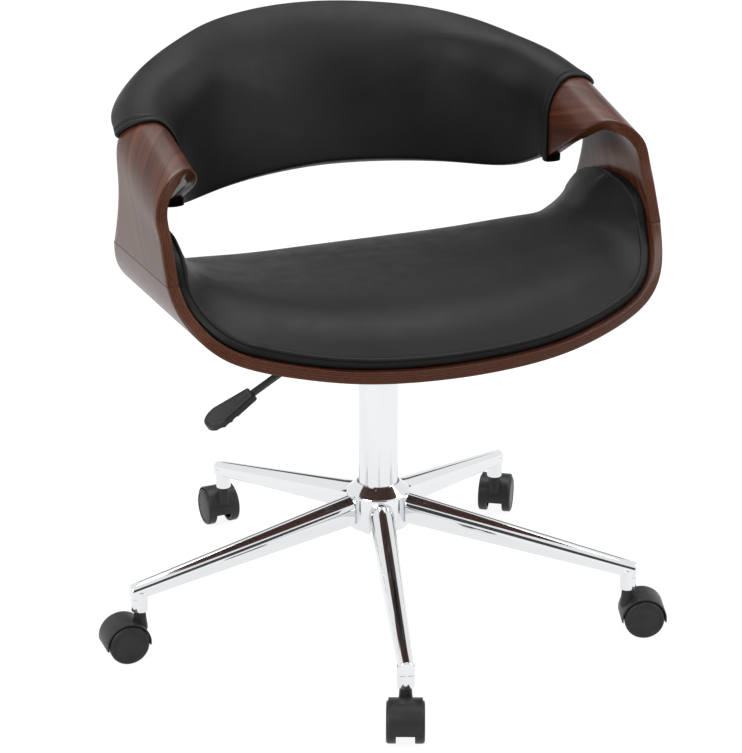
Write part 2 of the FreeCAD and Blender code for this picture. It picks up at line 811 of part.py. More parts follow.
def roll_profile(outer_count, inner_count, blend_count):
    """Outer face of the rolled arm at its rear end, from the panel over the roll to the leaf.
    Each row is (length run, x, height above the crest, inward direction)."""
    crest_x = half_width - roll_outer
    rows = [(0.0, half_width, -roll_outer, Vector(-1, 0, 0))]
    for a in steps(0.0, math.radians(roll_outer_turn), outer_count):
        rows.append((roll_outer * a, crest_x + roll_outer * math.cos(a), roll_outer * (math.sin(a) - 1),
                     Vector(-math.cos(a), 0, -math.sin(a))))
    run = rows[-1][0]
    first = math.radians(roll_inner_turn)
    for a in steps(0.0, first, inner_count):
        rows.append((run + roll_inner * a, crest_x - roll_inner * math.sin(a), roll_inner * (math.cos(a) - 1),
                     Vector(math.sin(a), 0, -math.cos(a))))
    run, x, height, _ = rows[-1]
    for a in steps(first, first + math.radians(leaf_blend_turn), blend_count):
        rows.append((run + leaf_blend * (a - first), x - leaf_blend * (math.sin(a) - math.sin(first)),
                     height - leaf_blend * (math.cos(first) - math.cos(a)), Vector(math.sin(a), 0, -math.cos(a))))
    run, x, height, inward = rows[-1]
    for length in steps(0.0, leaf_length, 2):
        rows.append((run + length, x, height - length, inward))
    return rows


def crest(y):
    """Height of the top of the roll."""
    return seam_height(0) + roll_rise + roll_slope * y


def arm():
    """Right arm: panel up from the seat joint, roll over the top, and the inner leaf."""
    roll_foot = crest(arm_rear) - roll_outer
    places = []          # lengths run up the rear edge, 0 where the roll starts
    edges = []           # front edge's y and z, rear edge's y
    for (front_y, front_rise), (rear_y, rear_rise) in zip(panel_fronts, panel_rears):
        places.append(seam_height(rear_y) + rear_rise - roll_foot)
        edges.append((front_y, seam_height(front_y) + front_rise, rear_y))
    for (run, x, height, _), front_y in zip(roll_profile(3, 2, 2), roll_fronts):
        places.append(run)
        edges.append((front_y, crest(front_y) + height, arm_rear))
    edge = through(places, edges)
    x, z, inward = seat_point(seam_turn())
    front_y, rear_y = edges[0][0], edges[0][2]
    front, rear = ruling(x, z, front_y, rear_y)
    cuts = [cross_cut(front, rear, inward, ply)]
    panel_foot = places[0] + seam_below_corner
    for place in [panel_foot] + steps(panel_foot, 0.0, 8)[:-1]:
        front_y, front_z, rear_y = edge.value(place)
        front = Vector(half_width, front_y, front_z)
        rear = Vector(half_width, rear_y, roll_foot + place)
        cuts.append(cross_cut(front, rear, Vector(-1, 0, 0), ply))
    for run, x, height, inward in roll_profile(10, 5, 6):
        front_y = edge.value(run).x
        front = Vector(x, front_y, crest(front_y) + height)
        rear = Vector(x, arm_rear, crest(arm_rear) + height)
        cuts.append(cross_cut(front, rear, inward, ply))
    return ruled(cuts).cut(joint_dowels(touch_gap))


def joint_dowels(grow=0.0):
    """Dowels that pin the arms to the seat shell, inside the thickness of the plywood."""
    dowels = []
    for side in (-1, 1):
        for y in dowel_places:
            x = side * (half_width - ply / 2 - 0.6)
            z = seam_height(y)
            dowels.append(cylinder(dowel_radius + grow, z - dowel_half_length, z + dowel_half_length, x, y))
    return Part.makeCompound(dowels)


# Back

def back_rows():
    """One row for each place round the back: the place, the lower edge's radius and height, its
    lean, the straight length, the curl's turns and scale, and the foam ahead of the wood."""
    _, leaf_x, leaf_fall, _ = roll_profile(3, 2, 2)[-1]
    low = crest(arm_rear) + leaf_fall
    rows = []
    for i, place in enumerate(back_places):
        rows.append((
            place, leaf_x - back_insets[i], low - back_drops[i], back_leans[i], leaf_length + back_growths[i],
            back_curls[i], back_outer_turns[i], back_scales[i], back_foams[i],
        ))
    return rows


def curl_points(radius, height, lean, straight, curl, outer_turn, scale, offset, outer_count):
    """Corners of the back sheet's section at one place, from its lower edge up and over the curl,
    pushed out of its front face by an offset. Gives them in (radius, height), with the last turn."""
    angle = math.radians(lean)
    x = radius - math.cos(angle) * offset
    z = height + math.sin(angle) * offset
    corners = [(x, z)]
    x += straight * math.sin(angle)
    z += straight * math.cos(angle)
    corners.append((x, z))
    bends = (
        (leaf_blend, leaf_blend_turn * curl, 6),
        (roll_inner, roll_inner_turn * curl, 5),
        (roll_outer, outer_turn, outer_count),
    )
    for bend, turn, count in bends:
        bend_radius = bend * scale + offset
        centre_x = x + bend_radius * math.cos(angle)
        centre_z = z - bend_radius * math.sin(angle)
        for angle in steps(angle, angle + math.radians(turn), count):
            x = centre_x - bend_radius * math.cos(angle)
            z = centre_z + bend_radius * math.sin(angle)
            corners.append((x, z))
    return corners, angle


def back_outline(row, front, rear, ends, turn=None, outer_count=7):
    """Closed outline of the back at one row: front face, upper end, rear face, lower end."""
    place, radius, height, lean, straight, curl, outer_turn, scale, _ = row
    curve = (radius, height, lean, straight, curl, outer_turn, scale)
    face, last = curl_points(*curve, front, outer_count)
    back, _ = curl_points(*curve, -rear, outer_count)
    first = math.radians(lean)

    def rounded_end(a, b, out):
        """Corners of the bulging end between two points."""
        if ends == 0:
            return []
        return [
            (a[0] + (b[0] - a[0]) * share + out[0] * ends * 4 * share * (1 - share),
             a[1] + (b[1] - a[1]) * share + out[1] * ends * 4 * share * (1 - share))
            for share in (0.25, 0.5, 0.75)
        ]

    flat = face + rounded_end(face[-1], back[-1], (math.sin(last), math.cos(last)))
    flat += back[::-1] + rounded_end(back[0], face[0], (-math.sin(first), -math.cos(first)))
    around = math.radians(place if turn is None else turn)
    return [Vector(r * math.cos(around), arm_rear + r * math.sin(around), z) for r, z in flat]


def all_round(padded):
    """Outlines every few degrees, from the right arm round to the left arm."""
    rows = back_rows()
    turns = [row[0] for row in rows] + [180 - row[0] for row in reversed(rows[:-1])]
    outlines = []
    for row, turn in zip(rows + rows[-2::-1], turns):
        if padded:
            outlines.append(back_outline(row, row[-1], ply + cover_rear, cover_ends, turn))
        else:
            outlines.append(back_outline(row, 0.0, ply, 0.0, turn))
    curves = [through(turns, corners) for corners in zip(*outlines)]
    return [[curve.value(turn) for curve in curves] for turn in [0.0] + steps(0.0, 180.0, 30)]


def back_core():
    """Plywood sheet inside the back, from one arm to the other."""
    return ruled(all_round(False))


def back_pad():
    """Foam and cover round the back sheet."""
    return ruled(all_round(True)).cut(back_core())


def cuff_ring(row, front, rear, ends, from_y, to_y, outer_count=7):
    """Straight stretch of the cover's outline on the right arm, between two places along the roll."""
    outline = back_outline(row, front, rear, ends, outer_count=outer_count)
    face = Part.Face(Part.makePolygon(outline + outline[:1]))
    face.translate(Vector(0, to_y - arm_rear, roll_slope * (to_y - arm_rear)))
    return face.extrude(Vector(0, from_y - to_y, roll_slope * (from_y - to_y)))


def back_cuff():
    """End of the cover drawn over the rolled right arm, with its folded hem."""
    row = back_rows()[0]
    whole_roll = row[:6] + (roll_outer_turn,) + row[7:]
    front = row[-1]
    rear = ply + cover_rear
    hem_rear = cuff_front + hem_width
    sleeve = cuff_ring(row, front, rear, cover_ends, cuff_front, arm_rear)
    hem = cuff_ring(row, front + hem_proud, rear + hem_proud, cover_ends + hem_proud, cuff_front, hem_rear)
    wood = cuff_ring(whole_roll, arm_gap, ply + arm_gap, arm_gap, cuff_front - 1, arm_rear + 1, 10)
    return sleeve.fuse(hem).removeSplitter().cut(wood)


# Seat cushion

def cushion_cut(front, rear, inward, height, blend_front, blend_rear):
    """Outline of the cushion along one line of the shell: edges, rounded shoulders and crown."""
    along = rear - front
    length = along.Length
    along.normalize()
    level = length - blend_front - blend_rear

    def spot(distance, rise):
        return front + along * distance + inward * (cushion_gap + rise)

    def shoulder(blend, share):
        """Point on the arc that climbs from the edge and ends level."""
        rise = height - cushion_edge
        radius = (blend ** 2 + rise ** 2) / (2 * rise)
        return height - radius + math.sqrt(radius ** 2 - (blend * (1 - share)) ** 2)

    points = [spot(0, 0), spot(0, cushion_edge)]
    points += [spot(blend_front * share, shoulder(blend_front, share)) for share in steps(0.0, 1.0, 6)]
    for share in steps(0.0, 1.0, 4):
        crown = cushion_crown * 4 * share * (1 - share)
        points.append(spot(blend_front + level * share, height + crown))
    for share in steps(1.0, 0.0, 6):
        points.append(spot(length - blend_rear * share, shoulder(blend_rear, share)))
    return points + [spot(length, 0)]


def cushion_rows():
    """Right half of the cushion: rows on the shell's profile, then rows up the arm's panel."""
    places = []
    edges = []           # front end, rear end, thickness
    for turn, height in zip(shell_turns(2, 3, 5), cushion_heights):
        x = seat_point(turn)[0]
        places.append(seat_run(turn))
        edges.append((seat_front(x) + cushion_inset, seat_rear(x) - cushion_inset, height))
    seam_place = places[-1]
    seam_z = seam_height(0)
    for rise, front, rear, height in cushion_top_rows:
        places.append(seam_place + rise)
        edges.append((front, rear, height))
    edge = through(places, edges)
    rows = []
    for turn in shell_turns(3, 6, 12):
        x, z, inward = seat_point(turn)
        height = edge.value(seat_run(turn)).z
        rows.append((x, z, inward, seat_front(x) + cushion_inset, seat_rear(x) - cushion_inset, height))
    for place in steps(seam_place, places[-1], 6):
        front, rear, height = edge.value(place)
        rows.append((half_width, seam_z + place - seam_place, Vector(-1, 0, 0), front, rear, height))
    return rows


def seat_cushion():
    outlines = []
    for x, z, inward, front, rear, height in both_sides(cushion_rows()):
        low_front, low_rear = ruling(x, z, front, rear)
        length = rear - front
        blend_front = min(cushion_front_blend, 0.4 * length)
        blend_rear = min(cushion_rear_blend, 0.4 * length)
        skin = inward * ply
        outlines.append(cushion_cut(low_front + skin, low_rear + skin, inward, height, blend_front, blend_rear))
    return ruled(outlines)


# Build and write every piece

save("base_hub", hub())
for index in range(leg_count):
    name = str(index + 1)
    angle = first_leg_angle + index * 360 / leg_count
    save("leg_" + name, turned(leg(), angle))
    save("caster_socket_" + name, turned(socket(), angle))
    save("caster_stem_" + name, place_caster(stem(), index))
    save("caster_hood_" + name, place_caster(hood(), index))
    save("caster_axle_" + name, place_caster(axle(), index))
    near_wheel = wheel()
    far_wheel = near_wheel.mirror(Vector(0, 0, 0), Vector(0, 1, 0))
    save("wheel_left_" + name, place_caster(near_wheel, index))
    save("wheel_right_" + name, place_caster(far_wheel, index))

save("column_tube", column_tube())
save("guide_bush", guide_bush())
save("thrust_bearing", thrust_bearing())
save("piston_rod", piston_rod())
save("rod_clip", rod_clip())
save("pressure_tube", pressure_tube())
save("release_pin", release_pin())
save("seat_plate", seat_plate())
save("seat_bolts", seat_bolts())
save("tee_nuts", tee_nuts())
save("lever_pivot_pin", pivot_pin())
save("lever_rod", lever_rod())
save("lever_paddle", paddle())

save("seat_shell", seat_shell())
save("joint_dowels", joint_dowels())
right_arm = arm()
left_arm = mirrored(right_arm)
save("arm_right_side", right_arm)
save("arm_left_side", left_arm)
save("back_core", back_core())
save("back_pad", back_pad())
right_cuff = back_cuff()
save("back_cuff_right_side", right_cuff)
save("back_cuff_left_side", mirrored(right_cuff))
save("seat_cushion", seat_cushion())
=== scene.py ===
import math

import bmesh
import bpy
import numpy as np
from mathutils import Matrix, Vector
from mathutils.kdtree import KDTree


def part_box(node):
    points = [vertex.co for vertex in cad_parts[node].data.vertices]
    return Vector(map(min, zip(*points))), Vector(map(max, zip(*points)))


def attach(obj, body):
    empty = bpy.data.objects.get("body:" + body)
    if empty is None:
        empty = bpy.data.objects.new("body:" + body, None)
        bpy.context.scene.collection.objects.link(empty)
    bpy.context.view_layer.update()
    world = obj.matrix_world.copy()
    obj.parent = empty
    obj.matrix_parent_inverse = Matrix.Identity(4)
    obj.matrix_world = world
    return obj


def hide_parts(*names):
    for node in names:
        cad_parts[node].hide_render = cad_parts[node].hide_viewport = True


# Swivel office chair: bent plywood shell with rolled arms, padded back and seat, chrome base.
# Metres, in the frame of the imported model. The chair faces -Y and the column axis is Z.

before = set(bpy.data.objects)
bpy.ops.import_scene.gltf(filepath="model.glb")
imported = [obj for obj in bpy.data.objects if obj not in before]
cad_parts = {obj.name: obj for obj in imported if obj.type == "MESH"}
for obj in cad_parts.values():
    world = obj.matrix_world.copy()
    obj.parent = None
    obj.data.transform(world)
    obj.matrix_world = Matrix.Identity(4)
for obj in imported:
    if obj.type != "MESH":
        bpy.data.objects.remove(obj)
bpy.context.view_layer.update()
scene = bpy.context.scene


# Measures shared with the solids. The tables of the back and the cushion are in millimetres and degrees.

ply = 0.0135                 # thickness of the bent sheets
half_width = 0.310           # to the outer faces of the arms
# The seat's profile is a wide hollow, then a flank, each up to its turn in degrees, then a corner.
hollow_radius = 2.136
hollow_turn = 2.31
flank_radius = 0.7195
flank_turn = 14.78
seat_bottom = 0.406          # height of the seat's underside on the column axis
seat_slope = 0.05            # fall of the seat towards the rear
seam_below_corner = 0.005    # from the top of the corner down to the seam with the arm
plan_half_width = 0.312
# Outlines in plan: (reach from the column axis, radius, radius of the corners)
front_plan = (0.276, 0.513, 0.095)
rear_plan = (0.185, 0.600, 0.070)
roll_slope = 0.25            # rise of the arms' crest towards the rear
crest_height = 0.65779       # of that crest beside the column
roll_outer = 0.038           # radius of the arm's roll outside its crest
roll_inner = 0.022           # and inside it
roll_turn = 48.0             # degrees from the crest to where the roll opens into the leaf
leaf_blend = 0.061           # radius between the roll and the leaf
leaf_length = 0.055
arm_rear = 0.045             # Y of the arms' rear edges and of the centre of the back's arc
# Front and rear edges of the arm: (Y, height) up the panel, then Y round the roll
panel_fronts = ((-0.141, 0.523), (-0.127, 0.553), (-0.117, 0.573))
panel_rears = ((0.071, 0.51245), (0.0535, 0.549), (0.0435, 0.592))
roll_fronts = (-0.106, -0.102, -0.094, -0.082, -0.076, -0.070, -0.053, -0.031, 0.002, 0.035)
# (degrees round the back, radius, height, lean, straight part, curl, turn of the outer roll,
# scale of the bends, foam on the face)
back_rows = (
    (0.0, 240.0, 566.0, 0.0, 55.0, 1.00, 62.0, 1.00, 3.0),
    (12.0, 228.0, 545.0, 1.5, 93.0, 0.87, 76.5, 0.95, 7.0),
    (25.0, 199.0, 542.0, 5.6, 114.5, 0.67, 55.0, 0.93, 11.0),
    (40.0, 168.0, 545.0, 13.7, 119.5, 0.34, 31.5, 1.51, 14.0),
    (62.0, 142.0, 547.0, 18.3, 88.0, 0.24, 21.6, 3.68, 16.0),
    (90.0, 132.5, 548.0, 20.5, 68.5, 0.18, 16.2, 6.00, 16.5),
)
cushion_heights = (50.0, 50.0, 50.0, 49.5, 48.5, 47.5, 47.0, 45.0, 42.0, 38.0, 34.0)
# Up the arm's panel: (height above the seam, front, rear, thickness)
cushion_top_rows = ((18.0, -122.0, 45.0, 28.0), (30.0, -107.0, 25.0, 19.5), (38.0, -90.0, 0.0, 14.5),
                    (41.5, -76.0, -20.0, 13.0), (43.0, -62.0, -37.0, 12.4))
cushion_edge = 0.012         # height of the cushion's edge
cushion_margin = 0.010       # from the shell's front and rear edges
socket_circle = 0.320
first_leg_angle = 181.4
# Tube of a leg near the hub and at its tip: (distance from the column axis, width, height, top)
leg_root = (0.040, 0.032, 0.034, 0.163)
leg_tip = (0.3304, 0.018, 0.018, 0.096)
leg_start = 0.0375           # inside the hub's wall
axle_place = (0.020, 0, 0.025)                            # in a caster's own frame
lever_corner = Vector((-0.068, 0, 0.377))                 # where the rod bends down
lever_drop = math.radians(30.0)
lever_reach = (0.182 - 0.068) / math.cos(lever_drop)      # from the rod's corner to its end


# Node helpers

def feed(tree, node, inputs):
    """Give a node's inputs their links, or plain values where no socket is given."""
    for name, value in inputs.items():
        if isinstance(value, bpy.types.NodeSocket):
            tree.links.new(value, node.inputs[name])
        else:
            node.inputs[name].default_value = value
    return node


def add(tree, kind, inputs):
    """New node with its inputs."""
    return feed(tree, tree.nodes.new(kind), inputs)


def finish_base(name):
    """New material with its node tree and principled shader."""
    material = bpy.data.materials.new(name)
    material.use_nodes = True
    tree = material.node_tree
    return material, tree, tree.nodes["Principled BSDF"]


def object_place(tree):
    return tree.nodes.new("ShaderNodeTexCoord").outputs["Object"]


def grain_place(tree):
    """Place on a plywood sheet laid flat: along its bend, across it, and through its plies."""
    attribute = tree.nodes.new("ShaderNodeAttribute")
    attribute.attribute_name = "grain"
    return attribute.outputs["Vector"]


def stretched_noise(tree, source, scale, detail=4.0, roughness=0.5, distortion=0.0):
    """Noise whose pattern is as fine, along each axis, as the three numbers of scale say."""
    place = add(tree, "ShaderNodeMapping", {"Scale": scale, "Vector": source})
    noise = add(tree, "ShaderNodeTexNoise", {"Scale": 1.0, "Detail": detail, "Roughness": roughness,
                                             "Distortion": distortion, "Vector": place.outputs["Vector"]})
    return noise.outputs["Fac"]


def ramp(tree, value, stops):
    """Colour from a value, by stops of (position, colour)."""
    band = add(tree, "ShaderNodeValToRGB", {"Fac": value})
    elements = band.color_ramp.elements
    while len(elements) < len(stops):
        elements.new(0.5)
    for element, (position, colour) in zip(elements, stops):
        element.position = position
        element.color = (*colour, 1.0)
    return band.outputs["Color"]


def to_range(tree, value, low, high, source_low=0.3, source_high=0.7):
    """The value, spread over a range of numbers."""
    spread = add(tree, "ShaderNodeMapRange", {"From Min": source_low, "From Max": source_high,
                                              "To Min": low, "To Max": high, "Value": value})
    return spread.outputs["Result"]


def multiplied(tree, share, one, other):
    """Colour multiplied, by a share, with another."""
    blend = tree.nodes.new("ShaderNodeMix")
    blend.data_type = "RGBA"
    blend.blend_type = "MULTIPLY"
    return feed(tree, blend, {0: share, 6: one, 7: other}).outputs[2]


def worked_out(tree, operation, *values):
    """Number from a Math node."""
    node = tree.nodes.new("ShaderNodeMath")
    node.operation = operation
    return feed(tree, node, dict(enumerate(values))).outputs[0]


def bumped(tree, shader, heights):
    """Chain of bumps into the shader; each is (height socket, depth in metres)."""
    inputs = {}
    for height, depth in heights:
        bump = add(tree, "ShaderNodeBump", {"Strength": 1.0, "Distance": depth, "Height": height, **inputs})
        inputs = {"Normal": bump.outputs["Normal"]}
    feed(tree, shader, inputs)


# Finishes

def chrome_plate():
    material, tree, shader = finish_base("chrome plate")
    smears = stretched_noise(tree, object_place(tree), (22, 22, 9), 3.0)
    feed(tree, shader, {"Metallic": 1.0, "Base Color": (0.76, 0.77, 0.785, 1.0),
                        "Roughness": to_range(tree, smears, 0.025, 0.085)})
    return material


def bare_steel():
    material, tree, shader = finish_base("bare steel")
    tone = stretched_noise(tree, object_place(tree), (300, 300, 40), 3.0)
    colour = ramp(tree, tone, ((0.3, (0.30, 0.30, 0.31)), (0.7, (0.46, 0.46, 0.47))))
    feed(tree, shader, {"Metallic": 1.0, "Base Color": colour, "Roughness": to_range(tree, tone, 0.26, 0.42)})
    return material


def black_paint():
    material, tree, shader = finish_base("black powder coat")
    speck = stretched_noise(tree, object_place(tree), (900, 900, 900), 2.0)
    colour = ramp(tree, speck, ((0.35, (0.012, 0.012, 0.013)), (0.7, (0.024, 0.024, 0.025))))
    feed(tree, shader, {"Base Color": colour, "Roughness": 0.45})
    bumped(tree, shader, [(speck, 0.00008)])
    return material


def black_nylon():
    """Moulded nylon of the casters and the lever: even black, very fine spark texture."""
    material, tree, shader = finish_base("black moulded nylon")
    place = object_place(tree)
    cloud = stretched_noise(tree, place, (60, 60, 60), 3.0)
    spark = stretched_noise(tree, place, (1800, 1800, 1800), 2.0)
    colour = ramp(tree, cloud, ((0.3, (0.016, 0.016, 0.017)), (0.7, (0.024, 0.024, 0.025))))
    feed(tree, shader, {"Base Color": colour, "Roughness": to_range(tree, cloud, 0.36, 0.46),
                        "Specular IOR Level": 0.22})
    bumped(tree, shader, [(spark, 0.00005)])
    return material


def leatherette():
    """Smooth black upholstery with a fine pebble grain and faint uneven sheen."""
    material, tree, shader = finish_base("black leatherette")
    place = object_place(tree)
    cells = tree.nodes.new("ShaderNodeTexVoronoi")
    cells.feature = "DISTANCE_TO_EDGE"
    feed(tree, cells, {"Scale": 620.0, "Vector": place})
    pebble = to_range(tree, cells.outputs["Distance"], 0.0, 1.0, 0.0, 0.35)
    pores = stretched_noise(tree, place, (1500, 1500, 1500), 2.0)
    cloud = stretched_noise(tree, place, (9, 9, 9), 3.0)
    hand = stretched_noise(tree, place, (38, 38, 38), 4.0, 0.6)
    colour = ramp(tree, cloud, ((0.3, (0.0072, 0.0072, 0.0070)), (0.7, (0.0118, 0.0118, 0.0112))))
    feed(tree, shader, {"Base Color": colour, "Roughness": to_range(tree, hand, 0.40, 0.50),
                        "Specular IOR Level": 0.11})
    bumped(tree, shader, [(pebble, 0.00006), (pores, 0.00003)])
    return material


def stained_walnut(tree, place, across=75):
    """Colour and fibre of stained walnut, with the grain along the first axis of place; across
    says how fine the figure is across the grain."""
    wave = stretched_noise(tree, place, (2.2, 9, 0.5), 3.0)
    shift = tree.nodes.new("ShaderNodeVectorMath")
    shift.operation = "SCALE"
    feed(tree, shift, {0: (0.0, 1.0, 0.0), "Scale": to_range(tree, wave, -0.012, 0.012)})
    bent = add(tree, "ShaderNodeVectorMath", {0: place, 1: shift.outputs[0]}).outputs[0]
    figure = stretched_noise(tree, bent, (2.6, across, 3), 6.0, 0.62, 0.35)
    fibre = stretched_noise(tree, bent, (14, across * 9, 9), 4.0, 0.65)
    patch = stretched_noise(tree, bent, (2.0, 7, 2), 2.0)
    colour = ramp(tree, figure, (
        (0.28, (0.018, 0.0058, 0.0034)),
        (0.42, (0.044, 0.0134, 0.0072)),
        (0.55, (0.074, 0.0232, 0.0118)),
        (0.72, (0.120, 0.0410, 0.0195)),
    ))
    streak = ramp(tree, fibre, ((0.35, (0.45, 0.40, 0.38)), (0.62, (1.0, 1.0, 1.0))))
    light = ramp(tree, patch, ((0.3, (0.72, 0.70, 0.70)), (0.7, (1.18, 1.16, 1.14))))
    return multiplied(tree, 0.8, multiplied(tree, 0.75, colour, streak), light), fibre


def walnut_veneer():
    """Face of the plywood: stained walnut under clear gloss lacquer."""
    material, tree, shader = finish_base("walnut veneer")
    colour, fibre = stained_walnut(tree, grain_place(tree))
    feed(tree, shader, {"Base Color": colour, "Roughness": to_range(tree, fibre, 0.36, 0.48),
                        "Specular IOR Level": 0.06, "Coat Weight": 0.6, "Coat Roughness": 0.30, "Coat IOR": 1.45})
    bumped(tree, shader, [(fibre, 0.00005)])
    return material


def plywood_edge(layers=4.5):
    """Edge of the plywood: thin plies in alternating tones, so many pairs of layers deep, under
    the same stain."""
    material, tree, shader = finish_base("plywood edge")
    place = grain_place(tree)
    wobble = to_range(tree, stretched_noise(tree, place, (40, 40, 40), 2.0), -0.00012, 0.00012)
    through = add(tree, "ShaderNodeSeparateXYZ", {0: place}).outputs["Z"]
    count = worked_out(tree, "MULTIPLY", worked_out(tree, "ADD", wobble, through), layers / ply)
    plies = ramp(tree, worked_out(tree, "FRACT", count), (
        (0.0, (0.048, 0.0142, 0.0066)),
        (0.46, (0.054, 0.0162, 0.0072)),
        (0.50, (0.014, 0.0045, 0.0025)),
        (0.54, (0.090, 0.0300, 0.0125)),
        (0.94, (0.076, 0.0250, 0.0105)),
        (0.99, (0.016, 0.0052, 0.0030)),
    ))
    fleck = stretched_noise(tree, place, (160, 160, 900), 4.0)
    shade = ramp(tree, fleck, ((0.35, (0.66, 0.62, 0.60)), (0.65, (1.1, 1.1, 1.1))))
    feed(tree, shader, {"Base Color": multiplied(tree, 0.8, plies, shade), "Roughness": 0.42,
                        "Specular IOR Level": 0.06, "Coat Weight": 0.25, "Coat Roughness": 0.20, "Coat IOR": 1.42})
    bumped(tree, shader, [(fleck, 0.00006)])
    return material


def core_ply():
    """Stained plywood of the hidden sheet in the back, with its grain running across the chair."""
    material, tree, shader = finish_base("stained core ply")
    colour, _ = stained_walnut(tree, object_place(tree))
    feed(tree, shader, {"Base Color": colour, "Roughness": 0.42, "Specular IOR Level": 0.2})
    return material


def beech_dowel():
    material, tree, shader = finish_base("beech dowel")
    grain = stretched_noise(tree, object_place(tree), (600, 600, 40), 4.0)
    colour = ramp(tree, grain, ((0.3, (0.42, 0.25, 0.13)), (0.7, (0.60, 0.40, 0.23))))
    feed(tree, shader, {"Base Color": colour, "Roughness": 0.6})
    return material


chrome = chrome_plate()
steel = bare_steel()
paint = black_paint()
nylon = black_nylon()
cover = leatherette()
veneer = walnut_veneer()
ply_edge = plywood_edge()
dowel_wood = beech_dowel()
hidden_ply = core_ply()


# Making pieces

def merge(bm, distance=2e-6):
    bmesh.ops.remove_doubles(bm, verts=bm.verts, dist=distance)


def outwards(bm):
    bmesh.ops.recalc_face_normals(bm, faces=bm.faces)


def put(name, bm, finishes, body, stands_for, sharp=34.0):
    """Finish a bmesh as a piece that rides on a body and stands for its CAD nodes. Edges that
    turn by more than sharp degrees stay crisp."""
    merge(bm)
    outwards(bm)
    for face in bm.faces:
        face.smooth = True
    for edge in bm.edges:
        edge.smooth = len(edge.link_faces) == 2 and edge.calc_face_angle(0.0) < math.radians(sharp)
    mesh = bpy.data.meshes.new(name)
    bm.to_mesh(mesh)
    bm.free()
    for finish in finishes:
        mesh.materials.append(finish)
    piece = bpy.data.objects.new(name, mesh)
    scene.collection.objects.link(piece)
    bpy.context.view_layer.update()
    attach(piece, body)
    if stands_for:
        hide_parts(*stands_for)
    return piece


def rounded(profile):
    """Profile points of (radius, height, rounding) with each rounded corner drawn as a small arc."""
    points = []
    for i, (r, z, size) in enumerate(profile):
        here = Vector((r, z))
        if size <= 0 or i in (0, len(profile) - 1):
            points.append(here)
            continue
        before = (Vector(profile[i - 1][:2]) - here).normalized()
        after = (Vector(profile[i + 1][:2]) - here).normalized()
        start = here + before * size
        end = here + after * size
        for step in range(5):
            t = step / 4
            points.append(start * (1 - t) ** 2 + here * 2 * t * (1 - t) + end * t ** 2)
    return points


def lathe(bm, profile, steps, place=Matrix()):
    """Turn a profile of (radius, height, rounding), in metres, round the Z axis, then place it."""
    before = set(bm.verts)
    chain = [bm.verts.new((p.x, 0.0, p.y)) for p in rounded(profile)]
    edges = [bm.edges.new(pair) for pair in zip(chain, chain[1:])]
    bmesh.ops.spin(bm, geom=chain + edges, cent=(0, 0, 0), axis=(0, 0, 1), dvec=(0, 0, 0),
                   angle=math.tau, steps=steps, use_merge=True, use_duplicate=False)
    bmesh.ops.remove_doubles(bm, verts=[v for v in bm.verts if v not in before], dist=1e-6)
    bmesh.ops.transform(bm, matrix=place, verts=[v for v in bm.verts if v not in before])


def turned(name, profile, steps, finish, body, node, place=Matrix()):
    """Piece that is one turned profile and stands for one CAD node."""
    bm = bmesh.new()
    lathe(bm, profile, steps, place)
    put(name, bm, [finish], body, [node])


def eased(bm, geom, width, segments, affect="EDGES"):
    """Bevel edges or corners."""
    bmesh.ops.bevel(bm, geom=geom, offset=width, offset_type="OFFSET", segments=segments, profile=0.5,
                    affect=affect, material=-1)


def extruded(bm, edges):
    """Extrude edges in place; gives the new vertices."""
    made = bmesh.ops.extrude_edge_only(bm, edges=edges)["geom"]
    return [g for g in made if isinstance(g, bmesh.types.BMVert)]


def swept(bm, geom, centre, axis, angle, steps):
    """Sweep round part of a turn; gives what the sweep ends in."""
    return bmesh.ops.spin(bm, geom=geom, cent=centre, axis=axis, dvec=(0, 0, 0), angle=angle, steps=steps,
                          use_merge=False, use_duplicate=False)["geom_last"]


def turn_round(bm, verts, angle, axis):
    bmesh.ops.rotate(bm, cent=(0, 0, 0), matrix=Matrix.Rotation(angle, 3, axis), verts=verts)


def close_ends(bm):
    """Fill every open end with a face."""
    bmesh.ops.holes_fill(bm, edges=[e for e in bm.edges if e.is_boundary], sides=0)


def seal(bm):
    """Join a rolled grid along its seam, close its ends and turn its faces outwards."""
    merge(bm)
    close_ends(bm)
    outwards(bm)


def natural_curve(places, values, samples):
    """Smooth cubic curve through the values at the given places, read at the samples."""
    places = np.asarray(places, float)
    values = np.asarray(values, float)
    flat = values.reshape(len(places), -1)
    h = np.diff(places)
    n = len(places)
    matrix = np.eye(n)
    right = np.zeros_like(flat)
    for i in range(1, n - 1):
        matrix[i, i - 1] = h[i - 1]
        matrix[i, i] = 2 * (h[i - 1] + h[i])
        matrix[i, i + 1] = h[i]
        right[i] = 6 * ((flat[i + 1] - flat[i]) / h[i] - (flat[i] - flat[i - 1]) / h[i - 1])
    bends = np.linalg.solve(matrix, right)
    found = []
    for s in samples:
        i = int(np.clip(np.searchsorted(places, s) - 1, 0, n - 2))
        a = (places[i + 1] - s) / h[i]
        b = 1 - a
        found.append(a * flat[i] + b * flat[i + 1]
                     + ((a ** 3 - a) * bends[i] + (b ** 3 - b) * bends[i + 1]) * h[i] ** 2 / 6)
    return np.array(found).reshape((len(found),) + values.shape[1:])


def rolled_grid(bm, rows, columns, where):
    """Grid closed round its columns: where(row, column) gives each corner its place. Gives the
    vertices row by row."""
    made = bmesh.ops.create_grid(bm, x_segments=rows, y_segments=columns, size=1.0)["verts"]
    ordered = sorted(made, key=lambda v: (round(v.co.x, 5), round(v.co.y, 5)))
    for index, vert in enumerate(ordered):
        row, column = divmod(index, columns + 1)
        vert.co = where(row, column)
    return [ordered[r * (columns + 1):(r + 1) * (columns + 1)] for r in range(rows + 1)]


# Base

